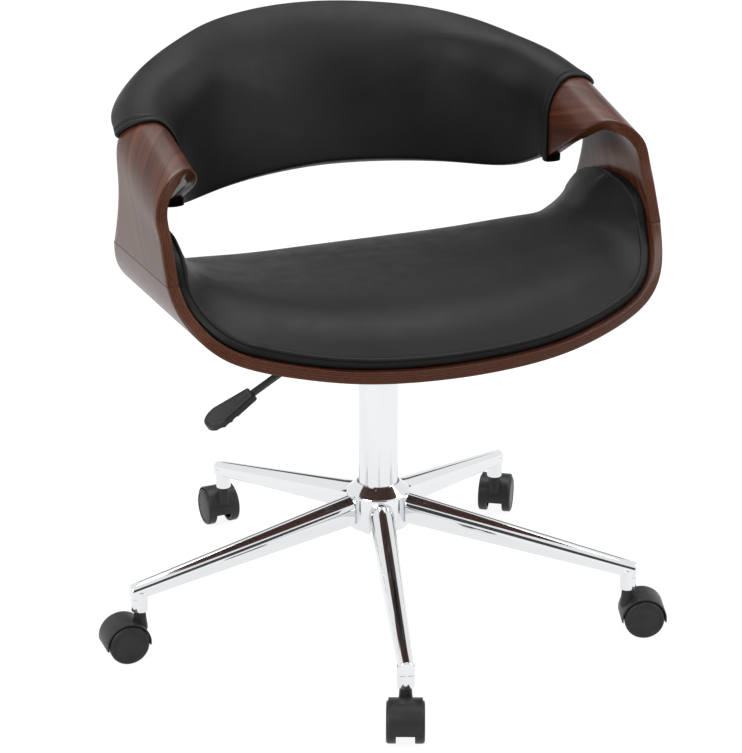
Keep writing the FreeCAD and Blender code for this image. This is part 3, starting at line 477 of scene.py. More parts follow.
def hub():
    turned("base_hub_plated", (
        (0.0251, 0.122, 0), (0.0291, 0.122, 0), (0.0291, 0.156, 0), (0.0365, 0.156, 0), (0.0365, 0.122, 0),
        (0.0400, 0.122, 0.0012), (0.0400, 0.166, 0.0022), (0.0282, 0.1765, 0.0012), (0.0262, 0.1783, 0.0010),
        (0.0251, 0.1770, 0.0), (0.0251, 0.122, 0),
    ), 96, chrome, "base", "base_hub")


def leg_turn(number):
    return math.radians(first_leg_angle + (number - 1) * 72)


def leg(number):
    """Tapered tube with an arched top, from inside the hub's wall to its caster socket."""
    bm = bmesh.new()

    def section(distance):
        share = (distance - leg_root[0]) / (leg_tip[0] - leg_root[0])
        width, height, top = (a + (b - a) * share for a, b in zip(leg_root[1:], leg_tip[1:]))
        return width / 2, height, top

    half, height, top = section(leg_start)
    spring = bm.verts.new((leg_start, half, top - half))
    other = swept(bm, [spring], (leg_start, 0, top - half), (1, 0, 0), math.pi, 22)[0]
    feet = []
    for vert in (spring, other):
        foot = bmesh.ops.extrude_vert_indiv(bm, verts=[vert])["verts"][0]
        foot.co.z = top - height
        feet.append(foot)
    bm.edges.new(feet)
    tip_half, tip_height, tip_top = section(leg_tip[0])
    for vert in extruded(bm, list(bm.edges)):
        rise = vert.co.z - (top - half)
        if rise >= -1e-6:
            vert.co.z = tip_top - tip_half + rise * tip_half / half
        else:
            vert.co.z = tip_top - tip_height
        vert.co.y *= tip_half / half
        vert.co.x = leg_tip[0]
    close_ends(bm)
    outwards(bm)
    folds = [e for e in bm.edges if len(e.link_faces) == 2 and e.calc_face_angle(0.0) > math.radians(50)]
    eased(bm, folds, 0.0013, 3)
    long_edges = [e for e in bm.edges if e.calc_length() > 0.2]
    bmesh.ops.subdivide_edges(bm, edges=long_edges, cuts=12, use_grid_fill=True)
    turn_round(bm, bm.verts, leg_turn(number), "Z")
    put(f"leg_{number}_plated", bm, [chrome], "base", [f"leg_{number}"])


def socket_place(number):
    angle = leg_turn(number)
    return Vector((socket_circle * math.cos(angle), socket_circle * math.sin(angle), 0))


def socket(number):
    name = f"caster_socket_{number}"
    turned(f"{name}_plated", (
        (0.0, 0.0847, 0), (0.00556, 0.0847, 0), (0.00556, 0.0607, 0.0006), (0.0104, 0.0607, 0.0012),
        (0.0104, 0.0877, 0.0006), (0.0, 0.0877, 0),
    ), 48, chrome, "base", name, Matrix.Translation(socket_place(number)))


def caster_place(number):
    """Turn and shift from the caster's own frame, with its stem on the Z axis, to its place."""
    low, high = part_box(f"caster_axle_{number}")
    stem = socket_place(number)
    trail = math.atan2((low.y + high.y) / 2 - stem.y, (low.x + high.x) / 2 - stem.x)
    return Matrix.Translation(stem) @ Matrix.Rotation(trail, 4, "Z")


axle = Matrix.Translation(axle_place)
lying = Matrix.Rotation(math.radians(90), 4, "X")         # lays a turned profile along Y


def wheel(number, side):
    """Wheel with a rounded tread and a plain cap set inside its rim."""
    name = f"wheel_{side}_{number}"
    across = lying.inverted() if side == "left" else lying
    turned(f"{name}_nylon", (
        (0.00306, 0.0100, 0), (0.0070, 0.0100, 0.0003), (0.0070, 0.0188, 0), (0.0208, 0.0188, 0),
        (0.0208, 0.0110, 0.0003), (0.0250, 0.0110, 0.0010), (0.0250, 0.0225, 0.0036), (0.0204, 0.0225, 0.0005),
        (0.0198, 0.0217, 0.0004), (0.0186, 0.0217, 0.0004), (0.0180, 0.0221, 0.0004), (0.0, 0.0225, 0),
        (0.0, 0.0205, 0), (0.00306, 0.0205, 0), (0.00306, 0.0100, 0),
    ), 64, nylon, name, name, caster_place(number) @ axle @ across)


def hood(number):
    """Arched cover over both wheels, with the web between them and the neck for the stem."""
    bm = bmesh.new()
    first_angle = -8.0           # the cover and the web start just under the axle's height

    def band(inner, outer, half, last_angle, rounding, steps):
        """Bar with rounded corners, swept round the axle."""
        before = set(bm.verts)
        corners = [bm.verts.new((r, y, 0)) for r, y in ((inner, -half), (outer, -half), (outer, half), (inner, half))]
        bm.faces.new(corners)
        eased(bm, corners, rounding, 4, "VERTICES")
        edges = [e for e in bm.edges if e.verts[0] not in before]
        faces = [f for f in bm.faces if all(v not in before for v in f.verts)]
        bmesh.ops.delete(bm, geom=faces, context="FACES_ONLY")
        verts = list({v for e in edges for v in e.verts})
        turn_round(bm, verts, math.radians(-first_angle), "Y")
        swept(bm, verts + edges, (0, 0, 0), (0, -1, 0), math.radians(last_angle - first_angle), steps)
        close_ends(bm)
        bmesh.ops.translate(bm, vec=axle_place, verts=[v for v in bm.verts if v not in before])

    band(0.0262, 0.0282, 0.0200, 188.0, 0.0007, 40)
    band(0.0050, 0.0280, 0.0080, 160.0, 0.0008, 34)
    lathe(bm, ((0.0, 0.0600, 0), (0.0062, 0.0604, 0.0008), (0.0072, 0.0596, 0.0008), (0.0078, 0.0500, 0.001),
               (0.0090, 0.0400, 0.002), (0.0090, 0.0360, 0), (0.0, 0.0360, 0)), 40)
    lathe(bm, ((0.0, -0.0082, 0), (0.0068, -0.0082, 0.0005), (0.0068, 0.0082, 0.0005), (0.0, 0.0082, 0)), 40,
          axle @ lying)
    bmesh.ops.transform(bm, matrix=caster_place(number), verts=bm.verts)
    name = f"caster_hood_{number}"
    put(f"{name}_nylon", bm, [nylon], f"caster_{number}", [name])


# Gas lift

def column():
    turned("column_tube_plated", (
        (0.00506, 0.112, 0), (0.0250, 0.112, 0.001), (0.0250, 0.322, 0.0004), (0.0235, 0.322, 0.0003),
        (0.0235, 0.115, 0), (0.00506, 0.115, 0), (0.00506, 0.112, 0),
    ), 96, chrome, "base", "column_tube")


def bush():
    turned("guide_bush_moulded", (
        (0.01406, 0.262, 0), (0.0234, 0.262, 0), (0.0234, 0.322, 0), (0.0250, 0.322, 0.0004),
        (0.0246, 0.324, 0.0008), (0.01406, 0.324, 0.0005), (0.01406, 0.262, 0),
    ), 80, nylon, "base", "guide_bush")


def pressure_tube():
    top, valve_depth = 0.3635, 0.013
    turned("pressure_tube_plated", (
        (0.00506, 0.128, 0), (0.0140, 0.128, 0.001), (0.0140, top, 0.0008), (0.00406, top, 0),
        (0.00406, top - valve_depth, 0), (0.0, top - valve_depth, 0),
    ), 64, chrome, "seat", "pressure_tube")


# Lever

lever_along = Vector((-math.cos(lever_drop), 0, -math.sin(lever_drop)))
lever_normal = Vector((-math.sin(lever_drop), 0, math.cos(lever_drop)))


def lever_rod():
    """Round rod with one bend, and the boss that turns on the pivot pin."""
    bm = bmesh.new()
    inner_end, rod_radius, bend_radius, pivot = 0.008, 0.0045, 0.024, -0.045
    trim = bend_radius * math.tan(lever_drop / 2)
    bend_start = lever_corner.x + trim
    ring = bmesh.ops.create_circle(bm, segments=32, radius=rod_radius)["verts"]
    turn_round(bm, ring, math.radians(90), "Y")
    bmesh.ops.translate(bm, vec=(inner_end, 0, lever_corner.z), verts=ring)
    tip = extruded(bm, list(bm.edges))
    bmesh.ops.translate(bm, vec=(bend_start - inner_end, 0, 0), verts=tip)
    edges = [e for e in bm.edges if e.verts[0] in tip and e.verts[1] in tip]
    bend = swept(bm, tip + edges, (bend_start, 0, lever_corner.z - bend_radius), (0, -1, 0), lever_drop, 10)
    tip = extruded(bm, [g for g in bend if isinstance(g, bmesh.types.BMEdge)])
    bmesh.ops.translate(bm, vec=lever_along * (lever_reach - trim), verts=tip)
    close_ends(bm)
    lathe(bm, ((0.00306, -0.0142, 0), (0.008, -0.0142, 0.0006), (0.008, 0.0142, 0.0006), (0.00306, 0.0142, 0),
               (0.00306, -0.0142, 0)), 48, Matrix.Translation((pivot, 0, lever_corner.z)) @ lying)
    put("lever_rod_painted", bm, [paint], "lever", ["lever_rod"])


def paddle():
    """Tapered grip with a round end, a rim round its flat top face and finger notches beneath."""
    bm = bmesh.new()
    length, root, tip, thick = 0.069, 0.0125, 0.0222, 0.011
    rim, rim_height = 0.0030, 0.0009
    notches, notch_half, notch_depth = (0.036, 0.0465, 0.057), 0.0042, 0.0017
    over_rod, steps = 0.020, 56          # how far it is pushed over the rod's end; rows and columns
    start = lever_corner + lever_along * (lever_reach - over_rod)

    def half_width_at(s):
        straight = length - tip
        if s <= straight:
            return root + (tip - root) * s / straight
        return math.sqrt(max(tip ** 2 - (s - straight) ** 2, 0.0))

    def outline(t, power=0.34):
        """Rounded cross-section: across and up, each from -1 to 1, starting under the middle."""
        angle = math.tau * t - math.pi / 2
        c, s = math.cos(angle), math.sin(angle)
        return math.copysign(abs(c) ** power, c), math.copysign(abs(s) ** power, s)

    def where(row, column):
        s = length * (1 - (1 - row / steps) ** 1.6)
        width = half_width_at(s)
        side, up = outline(column / steps)
        taper = min(1.0, s / 0.0015 + 0.72) * min(1.0, (0.55 + 0.45 * math.sqrt(max(width, 0) / tip)))
        rise = thick / 2 * up * taper
        if up < -0.5:
            rise += sum(notch_depth * max(0.0, 1 - ((s - notch) / notch_half) ** 2) for notch in notches)
        if up > 0.5:
            edge = min(width - abs(side) * width, length - s, s) / rim
            rise -= rim_height * min(max(edge - 0.6, 0.0), 1.0)
        return start + lever_along * s + Vector((0, side * width, 0)) + lever_normal * rise

    rolled_grid(bm, steps, steps, where)
    merge(bm, 2e-5)
    close_ends(bm)
    put("lever_paddle_moulded", bm, [nylon], "lever", ["lever_paddle"], sharp=60)


# Plywood

def rounded_section(across, through, rounding=0.0012):
    """Corners of a plywood section, once round: (share of width, shift, share of thickness, shift)."""
    near = rounding * 0.29
    corners = []
    for end, face in ((1, 0), (1, 1), (0, 1), (0, 0)):
        sign_end, sign_face = (-1 if end else 1), (-1 if face else 1)
        corner = [(end, sign_end * rounding, face, 0.0), (end, sign_end * near, face, sign_face * near),
                  (end, 0.0, face, sign_face * rounding)]
        if end == face:
            corner.reverse()
        corners.append(corner)
    ring = []
    for index, corner in enumerate(corners):
        ring += corner
        last, following = corner[-1], corners[(index + 1) % 4][0]
        steps = across if index % 2 else through
        for step in range(1, steps):
            ring.append(tuple(a + (b - a) * step / steps for a, b in zip(last, following)))
    return ring + ring[:1]


def plywood(name, cuts, along_steps, across_steps, node):
    """Bent sheet that runs smoothly through its cross-cuts, with eased edges and a grain map."""
    bm = bmesh.new()
    cuts = np.array([[list(c) for c in cut] for cut in cuts])
    steps = np.linalg.norm(np.diff(cuts, axis=0), axis=2)
    places = np.concatenate([[0.0], np.cumsum(steps[:, 0] + steps[:, 1])])
    fine = natural_curve(places, cuts, np.linspace(0, places[-1], along_steps + 1))
    middle = fine.mean(axis=1)
    run = np.concatenate([[0.0], np.cumsum(np.linalg.norm(np.diff(middle, axis=0), axis=1))])
    ring = rounded_section(across_steps, 3)
    layer = bm.verts.layers.float_vector.new("grain")
    marks = {}

    def where(row, column):
        front, rear, rear_in, front_in = (Vector(c) for c in fine[row])
        share, shift, deep, sink = ring[column]
        width = (rear - front).length
        t = share + shift / width
        outer = front.lerp(rear, t)
        inner = front_in.lerp(rear_in, t)
        depth = deep + sink / ply
        marks[(row, column)] = (run[row], t * width - front.y, depth * ply)
        return outer.lerp(inner, depth)

    for row, line in enumerate(rolled_grid(bm, along_steps, len(ring) - 1, where)):
        for column, vert in enumerate(line):
            vert[layer] = marks[(row, column)]
    seal(bm)
    ends = [f for f in bm.faces if len(f.verts) > 8]
    eased(bm, list({e for f in ends for e in f.edges}), 0.0005, 1)
    for face in bm.faces:
        depths = [v[layer].z for v in face.verts]
        on_edge = len(face.verts) > 8 or max(depths) - min(depths) > 1e-5
        face.material_index = 1 if on_edge else 0
    put(name, bm, [veneer, ply_edge], "seat", [node], sharp=50)


def seat_curve():
    """Radius of the seat's corner arc and the place (x, z) of its centre."""
    first = math.radians(hollow_turn)
    second = math.radians(flank_turn)
    flank_x = hollow_radius * math.sin(first) + flank_radius * (math.sin(second) - math.sin(first))
    flank_z = seat_bottom + hollow_radius * (1 - math.cos(first)) + flank_radius * (math.cos(first) - math.cos(second))
    radius = (half_width - flank_x) / (1 - math.sin(second))
    return radius, half_width - radius, flank_z + radius * math.cos(second)


def seat_point(degrees):
    """Place on the seat's underside, at the column, where it has turned up by an angle."""
    angle = math.radians(degrees)
    first = math.radians(hollow_turn)
    inward = Vector((-math.sin(angle), 0, math.cos(angle)))
    if degrees <= hollow_turn:
        centre_x, centre_z, radius = 0.0, seat_bottom + hollow_radius, hollow_radius
    elif degrees <= flank_turn:
        radius = flank_radius
        centre_x = (hollow_radius - radius) * math.sin(first)
        centre_z = seat_bottom + hollow_radius - (hollow_radius - radius) * math.cos(first)
    else:
        radius, centre_x, centre_z = seat_curve()
    return centre_x + radius * math.sin(angle), centre_z - radius * math.cos(angle), inward


def plan_edge(x, plan):
    """Distance of a plan outline from the column axis: a wide arc with a corner arc."""
    depth, radius, corner = plan
    corner_x = plan_half_width - corner
    arc_centre = depth - radius
    corner_y = arc_centre + math.sqrt((radius - corner) ** 2 - corner_x ** 2)
    if abs(x) < corner_x * radius / (radius - corner):
        return arc_centre + math.sqrt(radius ** 2 - x * x)
    return corner_y + math.sqrt(max(corner ** 2 - (abs(x) - corner_x) ** 2, 0))


# Degrees of the seat's corner arc at the seam with the arm.
seam_turn = 90 - math.degrees(math.asin(seam_below_corner / seat_curve()[0]))


def shell_profile():
    """Right half of the seat's profile: (x, z at the axis, inward direction) of the underside."""
    turns = [0.0, hollow_turn / 2, hollow_turn]
    turns += [hollow_turn + (flank_turn - hollow_turn) * share for share in (0.33, 0.67, 1.0)]
    turns += [flank_turn + (seam_turn - flank_turn) * share for share in (0.2, 0.4, 0.6, 0.8, 1.0)]
    return [seat_point(turn) for turn in turns]


def both_sides(rows):
    """Right-half rows, outermost last, turned into a full list from left to right."""
    left = [(-x, z, Vector((-n.x, 0, n.z))) + tuple(rest) for x, z, n, *rest in reversed(rows[1:])]
    return left + list(rows)


def cross_cut(front, rear, inward):
    """Corners of the sheet where it is cut across: outer face, then inner face."""
    return front, rear, rear + inward * ply, front + inward * ply


def seat_shell():
    cuts = []
    for x, z, inward in both_sides(shell_profile()):
        edges = -plan_edge(x, front_plan), plan_edge(x, rear_plan)
        cuts.append(cross_cut(*(Vector((x, y, z - seat_slope * y)) for y in edges), inward))
    plywood("seat_shell_walnut", cuts, 180, 26, "seat_shell")


def crest(y):
    return crest_height + roll_slope * y


def roll_profile():
    """Outer face of the rolled arm: (x, height above the crest, inward direction)."""
    crest_x = half_width - roll_outer
    rows = []
    for angle in (0.0, 30.0, 60.0, 90.0):
        a = math.radians(angle)
        rows.append((crest_x + roll_outer * math.cos(a), roll_outer * (math.sin(a) - 1),
                     Vector((-math.cos(a), 0, -math.sin(a)))))
    # Inside the crest the roll bends tighter, then it opens into the leaf.
    for radius, first, turns in ((roll_inner, 0.0, (24.0, roll_turn)), (leaf_blend, roll_turn, (69.0, 90.0))):
        x, h, _ = rows[-1]
        first = math.radians(first)
        for turn in turns:
            a = math.radians(turn)
            rows.append((x - radius * (math.sin(a) - math.sin(first)), h - radius * (math.cos(first) - math.cos(a)),
                         Vector((math.sin(a), 0, -math.cos(a)))))
    x, h, inward = rows[-1]
    return rows + [(x, h - leaf_length / 2, inward), (x, h - leaf_length, inward)]


def arm(side):
    cuts = []
    sign = 1 if side == "right" else -1
    for front, rear in zip(panel_fronts, panel_rears):
        cuts.append(cross_cut(Vector((half_width, *front)), Vector((half_width, *rear)), Vector((-1, 0, 0))))
    for (x, height, inward), front_y in zip(roll_profile(), roll_fronts):
        cuts.append(cross_cut(*(Vector((x, y, crest(y) + height)) for y in (front_y, arm_rear)), inward))
    cuts = [tuple(Vector((sign * c.x, c.y, c.z)) for c in cut) for cut in cuts]
    plywood(f"arm_{side}_walnut", cuts, 130, 22, f"arm_{side}_side")


# Padding

def swell(name, bm, limit, held):
    """Fill a padded form: cloth under pressure on an evenly meshed copy says how far each place
    is pushed out, and the form follows it. held gives each point's share of the limit."""
    voxel, last_frame, even_rounds, neighbours = 0.0055, 20, 60, 6
    mesh = bpy.data.meshes.new(name + "_start")
    bm.to_mesh(mesh)
    pad = bpy.data.objects.new(name + "_start", mesh)
    scene.collection.objects.link(pad)
    remesh = pad.modifiers.new("even", "REMESH")
    remesh.mode = "VOXEL"
    remesh.voxel_size = voxel
    bpy.context.view_layer.update()
    even = bpy.data.meshes.new_from_object(pad.evaluated_get(bpy.context.evaluated_depsgraph_get()))
    pad.modifiers.clear()
    pad.data = even
    count = len(even.vertices)

    def read(vertices, what):
        numbers = np.empty(count * 3)
        vertices.foreach_get(what, numbers)
        return numbers.reshape(-1, 3)

    start = read(even.vertices, "co")
    outward = read(even.vertices, "normal")
    cloth = pad.modifiers.new("fill", "CLOTH")
    cloth.settings.use_pressure = True
    cloth.settings.uniform_pressure_force = 4.0
    cloth.settings.effector_weights.gravity = 0.0
    cloth.settings.quality = 4
    cloth.settings.tension_stiffness = 20
    cloth.settings.compression_stiffness = 20
    cloth.settings.bending_stiffness = 4.0
    cloth.collision_settings.use_collision = False
    for number in range(1, last_frame + 1):
        scene.frame_set(number)
    blown = read(pad.evaluated_get(bpy.context.evaluated_depsgraph_get()).data.vertices, "co")
    scene.frame_set(1)
    allowed = np.array([held(Vector(p)) for p in start]) * limit
    raised = np.clip(((blown - start) * outward).sum(axis=1), 0.0, None)
    raised = allowed * np.tanh(raised / np.maximum(allowed, 1e-6))
    pairs = np.empty(len(even.edges) * 2, dtype=np.int32)
    even.edges.foreach_get("vertices", pairs)
    one, other = pairs[0::2], pairs[1::2]
    shared = np.bincount(one, minlength=count) + np.bincount(other, minlength=count)
    for _ in range(even_rounds):
        # Evened out over the neighbours, so that the filling has no creases.
        near = np.bincount(one, raised[other], count) + np.bincount(other, raised[one], count)
        raised = np.minimum(0.5 * raised + 0.5 * near / np.maximum(shared, 1), allowed)
    tree = search_tree(start)
    bpy.data.objects.remove(pad)
    bm.normal_update()
    moves = []
    for vert in bm.verts:
        found = tree.find_n(vert.co, neighbours)
        weights = [1.0 / (distance + 0.001) for _, _, distance in found]
        rise = sum(w * raised[index] for w, (_, index, _) in zip(weights, found)) / sum(weights)
        moves.append((vert, vert.normal * float(rise)))
    for vert, move in moves:
        vert.co += move


def search_tree(points):
    tree = KDTree(len(points))
    for index, point in enumerate(points):
        tree.insert(point, index)
    tree.balance()
    return tree


def soften(bm, verts, rounds):
    """Even out creases between neighbouring rows."""
    for _ in range(rounds):
        bmesh.ops.smooth_vert(bm, verts=verts, factor=0.5, use_axis_x=True, use_axis_y=True, use_axis_z=True)


def subdivide(piece):
    finer = piece.modifiers.new("finer", "SUBSURF")
    finer.levels = 1
    finer.render_levels = 1


def filled(node, bm, limit, held):
    swell(node, bm, limit, held)
    pad = put(f"{node}_covered", bm, [cover], "seat", [node], sharp=180)
    subdivide(pad)
    return pad


def welt(name, path, radius, closed):
    """Round piping along a path of points."""
    curve = bpy.data.curves.new(name + "_line", "CURVE")
    curve.dimensions = "3D"
    curve.bevel_depth = radius
    curve.bevel_resolution = 3
    line = curve.splines.new("POLY")
    line.points.add(len(path) - 1)
    for point, place in zip(line.points, path):
        point.co = (*place, 1.0)
    line.use_cyclic_u = closed
    curve.use_fill_caps = True
    holder = bpy.data.objects.new(name + "_line", curve)
    scene.collection.objects.link(holder)
    bpy.context.view_layer.update()
    bm = bmesh.new()
    bm.from_mesh(bpy.data.meshes.new_from_object(holder))
    bpy.data.objects.remove(holder)
    put(name, bm, [cover], "seat", (), sharp=80)


# Back

def back_outline(row):
    """Outline of the padded back at one place round it, as (radius, height) in millimetres."""
    degrees, radius, height, lean, straight, curl, outer_turn, scale, foam = row
    top_bulge, rear_foam = 4.5, 3.0
    low_bulge = 1.2 if degrees == 0 else 4.5
    # Of the leaf, the roll inside the crest and the roll outside it: radius, turn and steps
    bends = ((leaf_blend * 1000, (90.0 - roll_turn) * curl, 7), (roll_inner * 1000, roll_turn * curl, 7),
             (roll_outer * 1000, outer_turn, 12))

    def side(offset):
        angle = math.radians(lean)
        point = np.array([radius - math.cos(angle) * offset, height + math.sin(angle) * offset])
        up = np.array([math.sin(angle), math.cos(angle)])
        spots = [point + up * straight * t for t in np.linspace(0, 1, 9)]
        point = spots[-1]
        for bend, turn, count in bends:
            arc_radius = bend * scale + offset
            sweep = math.radians(turn)
            for t in np.linspace(0, 1, count + 1)[1:]:
                end = angle + sweep * t
                spots.append(point + arc_radius * np.array([math.cos(angle) - math.cos(end),
                                                            math.sin(end) - math.sin(angle)]))
            point = spots[-1]
            angle += sweep
        return spots, angle

    face, last = side(foam)
    rear, _ = side(-(ply * 1000 + rear_foam))
    first = math.radians(lean)

    def bulge(a, b, out, reach):
        """Round end between two corners, bulging by its reach."""
        middle, half = (a + b) / 2, (b - a) / 2
        return [middle - half * math.cos(t) + out * reach * math.sin(t) for t in np.linspace(0, math.pi, 9)[1:-1]]

    top = bulge(face[-1], rear[-1], np.array([math.sin(last), math.cos(last)]), top_bulge)
    low = bulge(rear[0], face[0], np.array([-math.sin(first), -math.cos(first)]), low_bulge)
    return np.array(face + top + rear[::-1] + low + face[:1])


outline_top = (35, 42)       # columns of the outline at its upper end
outline_outer = 23           # the outline passes the crest of the roll here
low_columns = 66             # from here on it runs round the lower end


def back_place(outline, degrees):
    """Outline set round the back, in metres."""
    a = math.radians(degrees)
    r = outline[:, 0] / 1000
    return np.stack([r * math.cos(a), arm_rear + r * math.sin(a), outline[:, 1] / 1000], axis=1)


def back_surface():
    """Outlines of the cover, close together, and how far each is from the start of the back. The
    first ones run along the right arm's roll, the last ones along the left arm's."""
    along_arm, spacing, count = 0.030, 0.001, 560
    outlines = [back_place(back_outline(row), row[0]) for row in back_rows]
    outlines += [back_place(back_outline(row), 180 - row[0]) for row in reversed(back_rows[:-1])]
    outlines = np.array(outlines)
    chords = np.linalg.norm(np.diff(outlines, axis=0), axis=2).mean(axis=1)
    places = np.concatenate([[0.0], np.cumsum(chords)])
    end = places[-1]
    wanted = np.linspace(0, end, count)
    middle = natural_curve(places, outlines, wanted)
    along = np.array([0.0, -1.0, -roll_slope])
    before = np.arange(-along_arm, -spacing / 10, spacing)
    right = outlines[0][None] - along[None, None] * before[:, None, None]
    left = outlines[-1][None] - along[None, None] * before[::-1][:, None, None]
    return np.concatenate([before, wanted, end - before[::-1]]), np.concatenate([right, middle, left])


cover_places, cover_outlines = back_surface()
cover_end = cover_places[-1] + cover_places[0]


def cover_normals():
    across = np.roll(cover_outlines[:, :-1], -1, axis=1) - np.roll(cover_outlines[:, :-1], 1, axis=1)
    across = np.concatenate([across, across[:, :1]], axis=1)
    along = np.gradient(cover_outlines, axis=0)
    normal = np.cross(across, along)
    normal /= np.maximum(np.linalg.norm(normal, axis=2), 1e-9)[:, :, None]
    centre = cover_outlines.mean(axis=1, keepdims=True)
    if ((cover_outlines - centre) * normal).sum() < 0:
        normal = -normal
    return normal


cover_out = cover_normals()


def cover_spot(place, column, proud=0.0):
    """Point on the cover at a place round the back and a column of its outline, moved out of
    the surface by a height in metres."""
    i = int(np.clip(np.searchsorted(cover_places, place) - 1, 0, len(cover_places) - 2))
    t = (place - cover_places[i]) / (cover_places[i + 1] - cover_places[i])
    spot = cover_outlines[i, column] * (1 - t) + cover_outlines[i + 1, column] * t
    out = cover_out[i, column] * (1 - t) + cover_out[i + 1, column] * t
    return Vector(spot + out * proud)


def hem_start(column, front=-0.019, slant=0.027):
    """Place of the hem's front edge: straight round the leaf and the crest, then slanting back
    down the outside of the arm."""
    tip = (outline_top[0] + outline_top[1]) / 2
    if column <= outline_outer:
        share = 0.0
    elif column <= tip:
        share = (column - outline_outer) / (tip - outline_outer)
    else:
        # The rear face has the same columns as the front one, in reverse.
        share = max(0.0, 1 - (column - tip) / (tip - outline_outer))
    return front + slant * share ** 1.5


def back_pad():
    """Foam and cover round the back, from inside one cuff to inside the other. The filling fades
    out where the back runs into the arms."""
    bm = bmesh.new()
    rows, inside_hem, flat_to, fade = 150, 0.010, 0.075, 0.05

    def where(row, column):
        start = hem_start(column) + inside_hem
        return cover_spot(start + (cover_end - 2 * start) * row / rows, column)

    rolled_grid(bm, rows, cover_outlines.shape[1] - 1, where)
    seal(bm)
    pad = filled("back_pad", bm, 0.0030, lambda p: min(1.0, max(0.0, (p.y - flat_to) / fade)))


def back_welt():
    """Piping that closes the cover along the upper end of the back."""
    column = outline_top[0] + 4
    proud, radius, end = 0.0012, 0.0019, 0.012
    path = [cover_spot(place, column, proud) for place in np.linspace(end, cover_end - end, 260)]
    welt("back_welt_piping", path, radius, False)


def back_cuff(side):
    """End of the cover over the rolled arm: a turned hem, a sewn ridge and the sleeve behind."""
    bm = bmesh.new()
    # (distance behind the hem's front edge, how far the surface stands proud), in millimetres
    stations = ((24.0, -0.8), (23.0, 0.1), (21.0, 0.4), (18.5, 0.5), (16.8, 0.5), (16.0, 0.2), (15.3, -0.3),
                (14.6, 0.3), (13.8, 1.0), (12.6, 1.3), (11.6, 1.1), (10.9, 0.5), (10.3, -0.4), (9.7, 0.5),
                (8.8, 1.5), (7.0, 2.1), (4.6, 2.3), (2.6, 2.2), (1.3, 1.8), (0.4, 1.0), (0.0, 0.0),
                (0.3, -1.1), (1.6, -2.3))
    if side == "left":
        stations = stations[::-1]

    def where(row, column):
        behind, proud = stations[row]
        place = hem_start(column) + behind / 1000
        if side == "left":
            place = cover_end - place
        if column >= low_columns:
            # There the sleeve lies close under the arm.
            proud *= 0.3
        return cover_spot(place, column, proud / 1000)

    rolled_grid(bm, len(stations) - 1, cover_outlines.shape[1] - 1, where)
    merge(bm)
    cuff = put(f"back_cuff_{side}_covered", bm, [cover], "seat", [f"back_cuff_{side}_side"], sharp=120)
    subdivide(cuff)


# Seat cushion

front_edge, rear_edge = 3, 46        # columns of the cushion's outline that its piping follows


def seat_run(degrees):
    """Length of the seat's profile from the column axis to where it has turned up by an angle."""
    run, low = 0.0, 0.0
    for radius, high in ((hollow_radius, hollow_turn), (flank_radius, flank_turn), (seat_curve()[0], 90.0)):
        run += radius * math.radians(max(min(degrees, high) - low, 0.0))
        low = high
    return run


def cushion_outline(front, rear, inward, height, blend_front, blend_rear):
    """Outline of the cushion along one line of the shell, once round, in metres. Both ends curve
    down to the edge over their blend."""
    along = rear - front
    length = along.length
    along.normalize()
    crown, gap, overhang = 0.0025, 0.0003, 0.0006

    def spot(distance, rise):
        return list(front + along * distance + inward * (gap + rise))

    def shoulder(blend, run):
        rise = height - cushion_edge
        radius = (blend ** 2 + rise ** 2) / (2 * rise)
        return height - radius + math.sqrt(radius ** 2 - (blend - run) ** 2)

    steps = np.linspace(0, 1, 15)
    sides = (0.35, 0.7)
    flat = length - blend_front - blend_rear
    spots = [spot(0.0, 0.0)] + [spot(-overhang, cushion_edge * share) for share in sides]
    spots += [spot(blend_front * t, shoulder(blend_front, blend_front * t)) for t in steps]
    spots += [spot(blend_front + flat * t, height + crown * 4 * t * (1 - t)) for t in steps[1:-1]]
    spots += [spot(length - blend_rear * t, shoulder(blend_rear, blend_rear * t)) for t in steps[::-1]]
    spots += [spot(length + overhang, cushion_edge * share) for share in reversed(sides)]
    return spots + [spot(length * t, 0.0) for t in np.linspace(1, 0, 43)]


def cushion_rows():
    """Lines of the cushion from left to right: the shell's, then those up the arm's panel."""
    def ends(x):
        return cushion_margin - plan_edge(x, front_plan), plan_edge(x, rear_plan) - cushion_margin

    stations = [0.0, hollow_turn / 2, hollow_turn]
    stations += [hollow_turn + (flank_turn - hollow_turn) * k / 3 for k in (1, 2, 3)]
    stations += [flank_turn + (seam_turn - flank_turn) * k / 5 for k in (1, 2, 3, 4, 5)]
    places = [seat_run(turn) for turn in stations]
    shapes = [(*ends(seat_point(turn)[0]), height / 1000) for turn, height in zip(stations, cushion_heights)]
    foot = places[-1]
    for rise, front, rear, height in cushion_top_rows:
        places.append(foot + rise / 1000)
        shapes.append((front / 1000, rear / 1000, height / 1000))
    turns = list(np.linspace(0, hollow_turn, 12)) + list(np.linspace(hollow_turn, flank_turn, 22)[1:])
    turns += list(np.linspace(flank_turn, seam_turn, 34)[1:])
    rows = []
    for turn, (_, _, height) in zip(turns, natural_curve(places, shapes, [seat_run(t) for t in turns])):
        x, z, inward = seat_point(turn)
        rows.append((x, z, inward, *ends(x), height))
    above = places[-1] - (places[-1] - foot) * np.linspace(1, 0, 19)[1:] ** 1.6
    seam_z = seat_point(seam_turn)[1]
    for place, (front, rear, height) in zip(above, natural_curve(places, shapes, above)):
        rows.append((half_width, seam_z + place - foot, Vector((-1, 0, 0)), front, rear, height))
    return both_sides(rows)


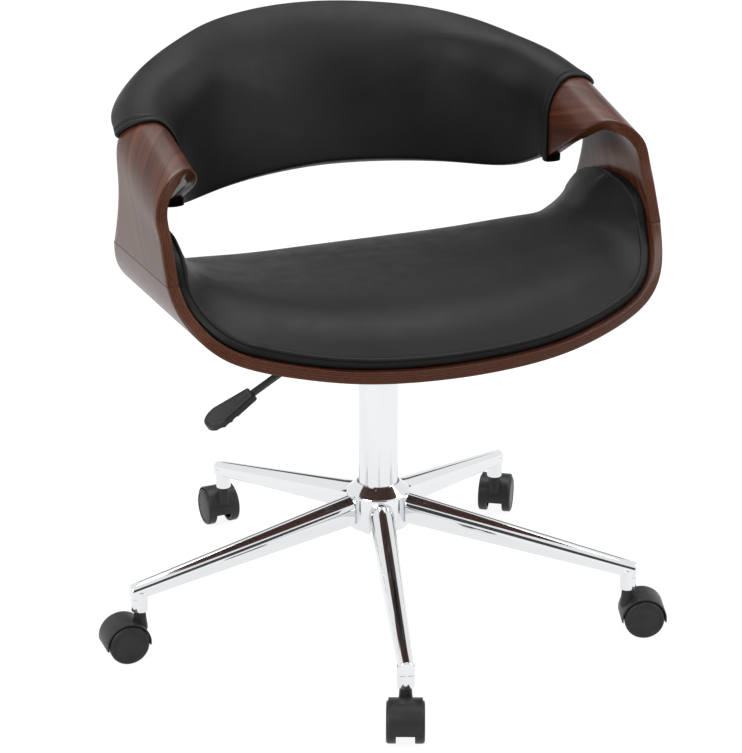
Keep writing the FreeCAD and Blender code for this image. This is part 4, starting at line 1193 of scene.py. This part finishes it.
def cushion_sections():
    """Outlines of the cushion from left to right. Its ends take up to two fifths of a short one."""
    front_blend, rear_blend, most = 0.095, 0.105, 0.4
    sections = []
    for x, z, inward, front, rear, height in cushion_rows():
        low_front, low_rear = (Vector((x, y, z - seat_slope * y)) + inward * ply for y in (front, rear))
        length = rear - front
        sections.append(cushion_outline(low_front, low_rear, inward, height,
                                        min(front_blend, most * length), min(rear_blend, most * length)))
    return np.array(sections)


def ends_line(section):
    """Points across the top end of the cushion, at the height of its edge."""
    first, last = section[front_edge], section[rear_edge]
    return [first + (last - first) * t for t in np.linspace(0, 1, 14)[1:-1]]


def seat_cushion():
    """Padded seat, pulled down to its edge all round, and the piping along that edge."""
    sections = cushion_sections()
    bm = bmesh.new()
    rows, columns = sections.shape[:2]
    rolled_grid(bm, rows - 1, columns - 1, lambda row, column: Vector(sections[row, column]))
    seal(bm)
    fixed = search_tree(np.concatenate([sections[:, :front_edge + 1].reshape(-1, 3),
                                        sections[:, rear_edge - 1:].reshape(-1, 3), sections[0], sections[-1]]))

    def free(point, start=0.006, fade=0.030):
        """Share of the filling: none near the edges, all of it past start and fade."""
        return min(1.0, max(0.0, (fixed.find(point)[2] - start) / fade))

    soften(bm, [v for v in bm.verts if fixed.find(v.co)[2] > 0.005], 40)
    pad = filled("seat_cushion", bm, 0.0045, free)
    loop = list(sections[:, front_edge]) + ends_line(sections[-1])
    loop += list(sections[::-1, rear_edge]) + ends_line(sections[0])[::-1]
    welt("seat_welt_piping", loop, 0.0023, True)


# Everything in place

hub()
for number in range(1, 6):
    leg(number)
    socket(number)
    hood(number)
    wheel(number, "left")
    wheel(number, "right")
column()
bush()
pressure_tube()
lever_rod()
paddle()
seat_shell()
arm("right")
arm("left")
back_pad()
back_welt()
back_cuff("right")
back_cuff("left")
seat_cushion()

steel_parts = ("seat_bolts", "tee_nuts", "lever_pivot_pin", "piston_rod", "rod_clip", "thrust_bearing", "release_pin")
carried = {"seat_plate": paint, "joint_dowels": dowel_wood, "back_core": hidden_ply}
carried.update((name, steel) for name in steel_parts)
for number in range(1, 6):
    carried.update({f"caster_stem_{number}": steel, f"caster_axle_{number}": steel})
for name, finish in carried.items():
    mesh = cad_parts[name].data
    mesh.materials.clear()
    mesh.materials.append(finish)


# Studio

def ray_share(tree):
    """One where the ray comes from the camera, a mirror or glass, and nothing elsewhere."""
    path = tree.nodes.new("ShaderNodeLightPath").outputs
    seen = worked_out(tree, "MAXIMUM", path["Is Camera Ray"], path["Is Glossy Ray"])
    return worked_out(tree, "MAXIMUM", seen, path["Is Transmission Ray"])


def blended(tree, share, one, other):
    """Shader that goes from one to the other by a share."""
    return add(tree, "ShaderNodeMixShader", {0: share, 1: one, 2: other}).outputs[0]


def lone_shader(tree, kind, grey, **inputs):
    """Shader of one grey, outside any principled one."""
    return add(tree, kind, {"Color": (grey, grey, grey, 1), **inputs}).outputs[0]


def flat_sheet(name, width, height, material):
    """Mesh of one rectangle round the origin."""
    bm = bmesh.new()
    bmesh.ops.create_grid(bm, x_segments=1, y_segments=1, size=0.5)
    bmesh.ops.scale(bm, vec=(width, height, 1), verts=bm.verts)
    mesh = bpy.data.meshes.new(name)
    bm.to_mesh(mesh)
    bm.free()
    mesh.materials.append(material)
    return mesh


def aimed(name, data, place, direction, front="-Z"):
    """Lamp, camera or card at a place, with its front turned in a direction."""
    holder = bpy.data.objects.new(name, data)
    holder.location = place
    holder.rotation_mode = "QUATERNION"
    holder.rotation_quaternion = direction.to_track_quat(front, "Y")
    scene.collection.objects.link(holder)
    return holder


def studio_floor():
    """Pale floor that keeps the shadow of the chair. The camera sees it near white from above, and
    from beneath it is clear, so that the underside of the chair shows."""
    material = bpy.data.materials.new("white floor")
    material.use_nodes = True
    tree = material.node_tree
    tree.nodes.clear()
    both = add(tree, "ShaderNodeAddShader", {0: lone_shader(tree, "ShaderNodeEmission", 1.0, Strength=0.92),
                                             1: lone_shader(tree, "ShaderNodeBsdfDiffuse", 0.14)}).outputs[0]
    top = blended(tree, ray_share(tree), lone_shader(tree, "ShaderNodeBsdfDiffuse", 0.80), both)
    beneath = tree.nodes.new("ShaderNodeNewGeometry").outputs["Backfacing"]
    clear = tree.nodes.new("ShaderNodeBsdfTransparent").outputs[0]
    add(tree, "ShaderNodeOutputMaterial", {"Surface": blended(tree, beneath, top, clear)})
    floor = bpy.data.objects.new("studio_floor", flat_sheet("studio_floor", 60.0, 60.0, material))
    scene.collection.objects.link(floor)


def studio_world():
    """Soft light from all round, which the camera, mirrors and glass see as white."""
    world = bpy.data.worlds.new("studio")
    scene.world = world
    world.use_nodes = True
    tree = world.node_tree
    tree.nodes.clear()
    room = add(tree, "ShaderNodeBackground", {"Color": (0.95, 0.97, 1.0, 1), "Strength": 0.55}).outputs[0]
    white = lone_shader(tree, "ShaderNodeBackground", 1.0, Strength=1.0)
    add(tree, "ShaderNodeOutputWorld", {"Surface": blended(tree, ray_share(tree), room, white)})


def softbox(name, place, aim, width, height, power):
    lamp = bpy.data.lights.new(name, "AREA")
    lamp.shape = "RECTANGLE"
    lamp.size = width
    lamp.size_y = height
    lamp.energy = power
    aimed(name, lamp, place, Vector(aim) - Vector(place))


def dark_card(name, place, aim, width, height, tone):
    """Dark studio card that only mirrors see, for the stripes in the chrome."""
    material, tree, shader = finish_base(name)
    feed(tree, shader, {"Base Color": (tone, tone, tone, 1), "Roughness": 1.0})
    card = aimed(name, flat_sheet(name, width, height, material), place, Vector(aim) - Vector(place), "Z")
    card.visible_camera = False
    card.visible_diffuse = False
    card.visible_transmission = False
    card.visible_shadow = False


def camera():
    """Camera at the photograph's viewing angle. Its focal length and shift were solved in pixels."""
    azimuth, elevation, distance = math.radians(-22.3), math.radians(21.73), 2.909
    aim = Vector((0, 0, 0.3183))
    longer_side, focal_length, shift = 753.0, 2346.8, -7.139
    back = Vector((math.sin(azimuth) * math.cos(elevation), -math.cos(azimuth) * math.cos(elevation),
                   math.sin(elevation)))
    data = bpy.data.cameras.new("camera")
    data.sensor_width = 36.0
    data.lens = focal_length * 36.0 / longer_side
    data.shift_x = shift / longer_side
    data.clip_end = 100.0
    scene.camera = aimed("camera", data, aim + back * distance, -back)


studio_floor()
studio_world()
softbox("softbox left", (-2.4, -1.2, 1.9), (0, 0, 0.5), 1.4, 1.8, 60)
softbox("softbox right", (2.4, -0.9, 2.0), (0, 0, 0.5), 1.4, 1.8, 40)
softbox("softbox top", (0.2, 0.6, 3.0), (0, 0, 0.4), 2.2, 1.6, 60)
dark_card("dark card behind", (1.3, 3.3, 1.75), (0, 0, 0.5), 3.6, 1.5, 0.10)
dark_card("dark card in front", (-1.3, -3.6, 1.7), (0, 0, 0.5), 4.4, 2.4, 0.06)
dark_card("dark strip left", (-2.6, 1.2, 0.55), (0, 0, 0.3), 0.5, 0.9, 0.05)
dark_card("dark strip right", (2.5, 0.3, 0.5), (0, 0, 0.3), 0.4, 0.8, 0.05)
camera()
scene.view_settings.view_transform = "Standard"
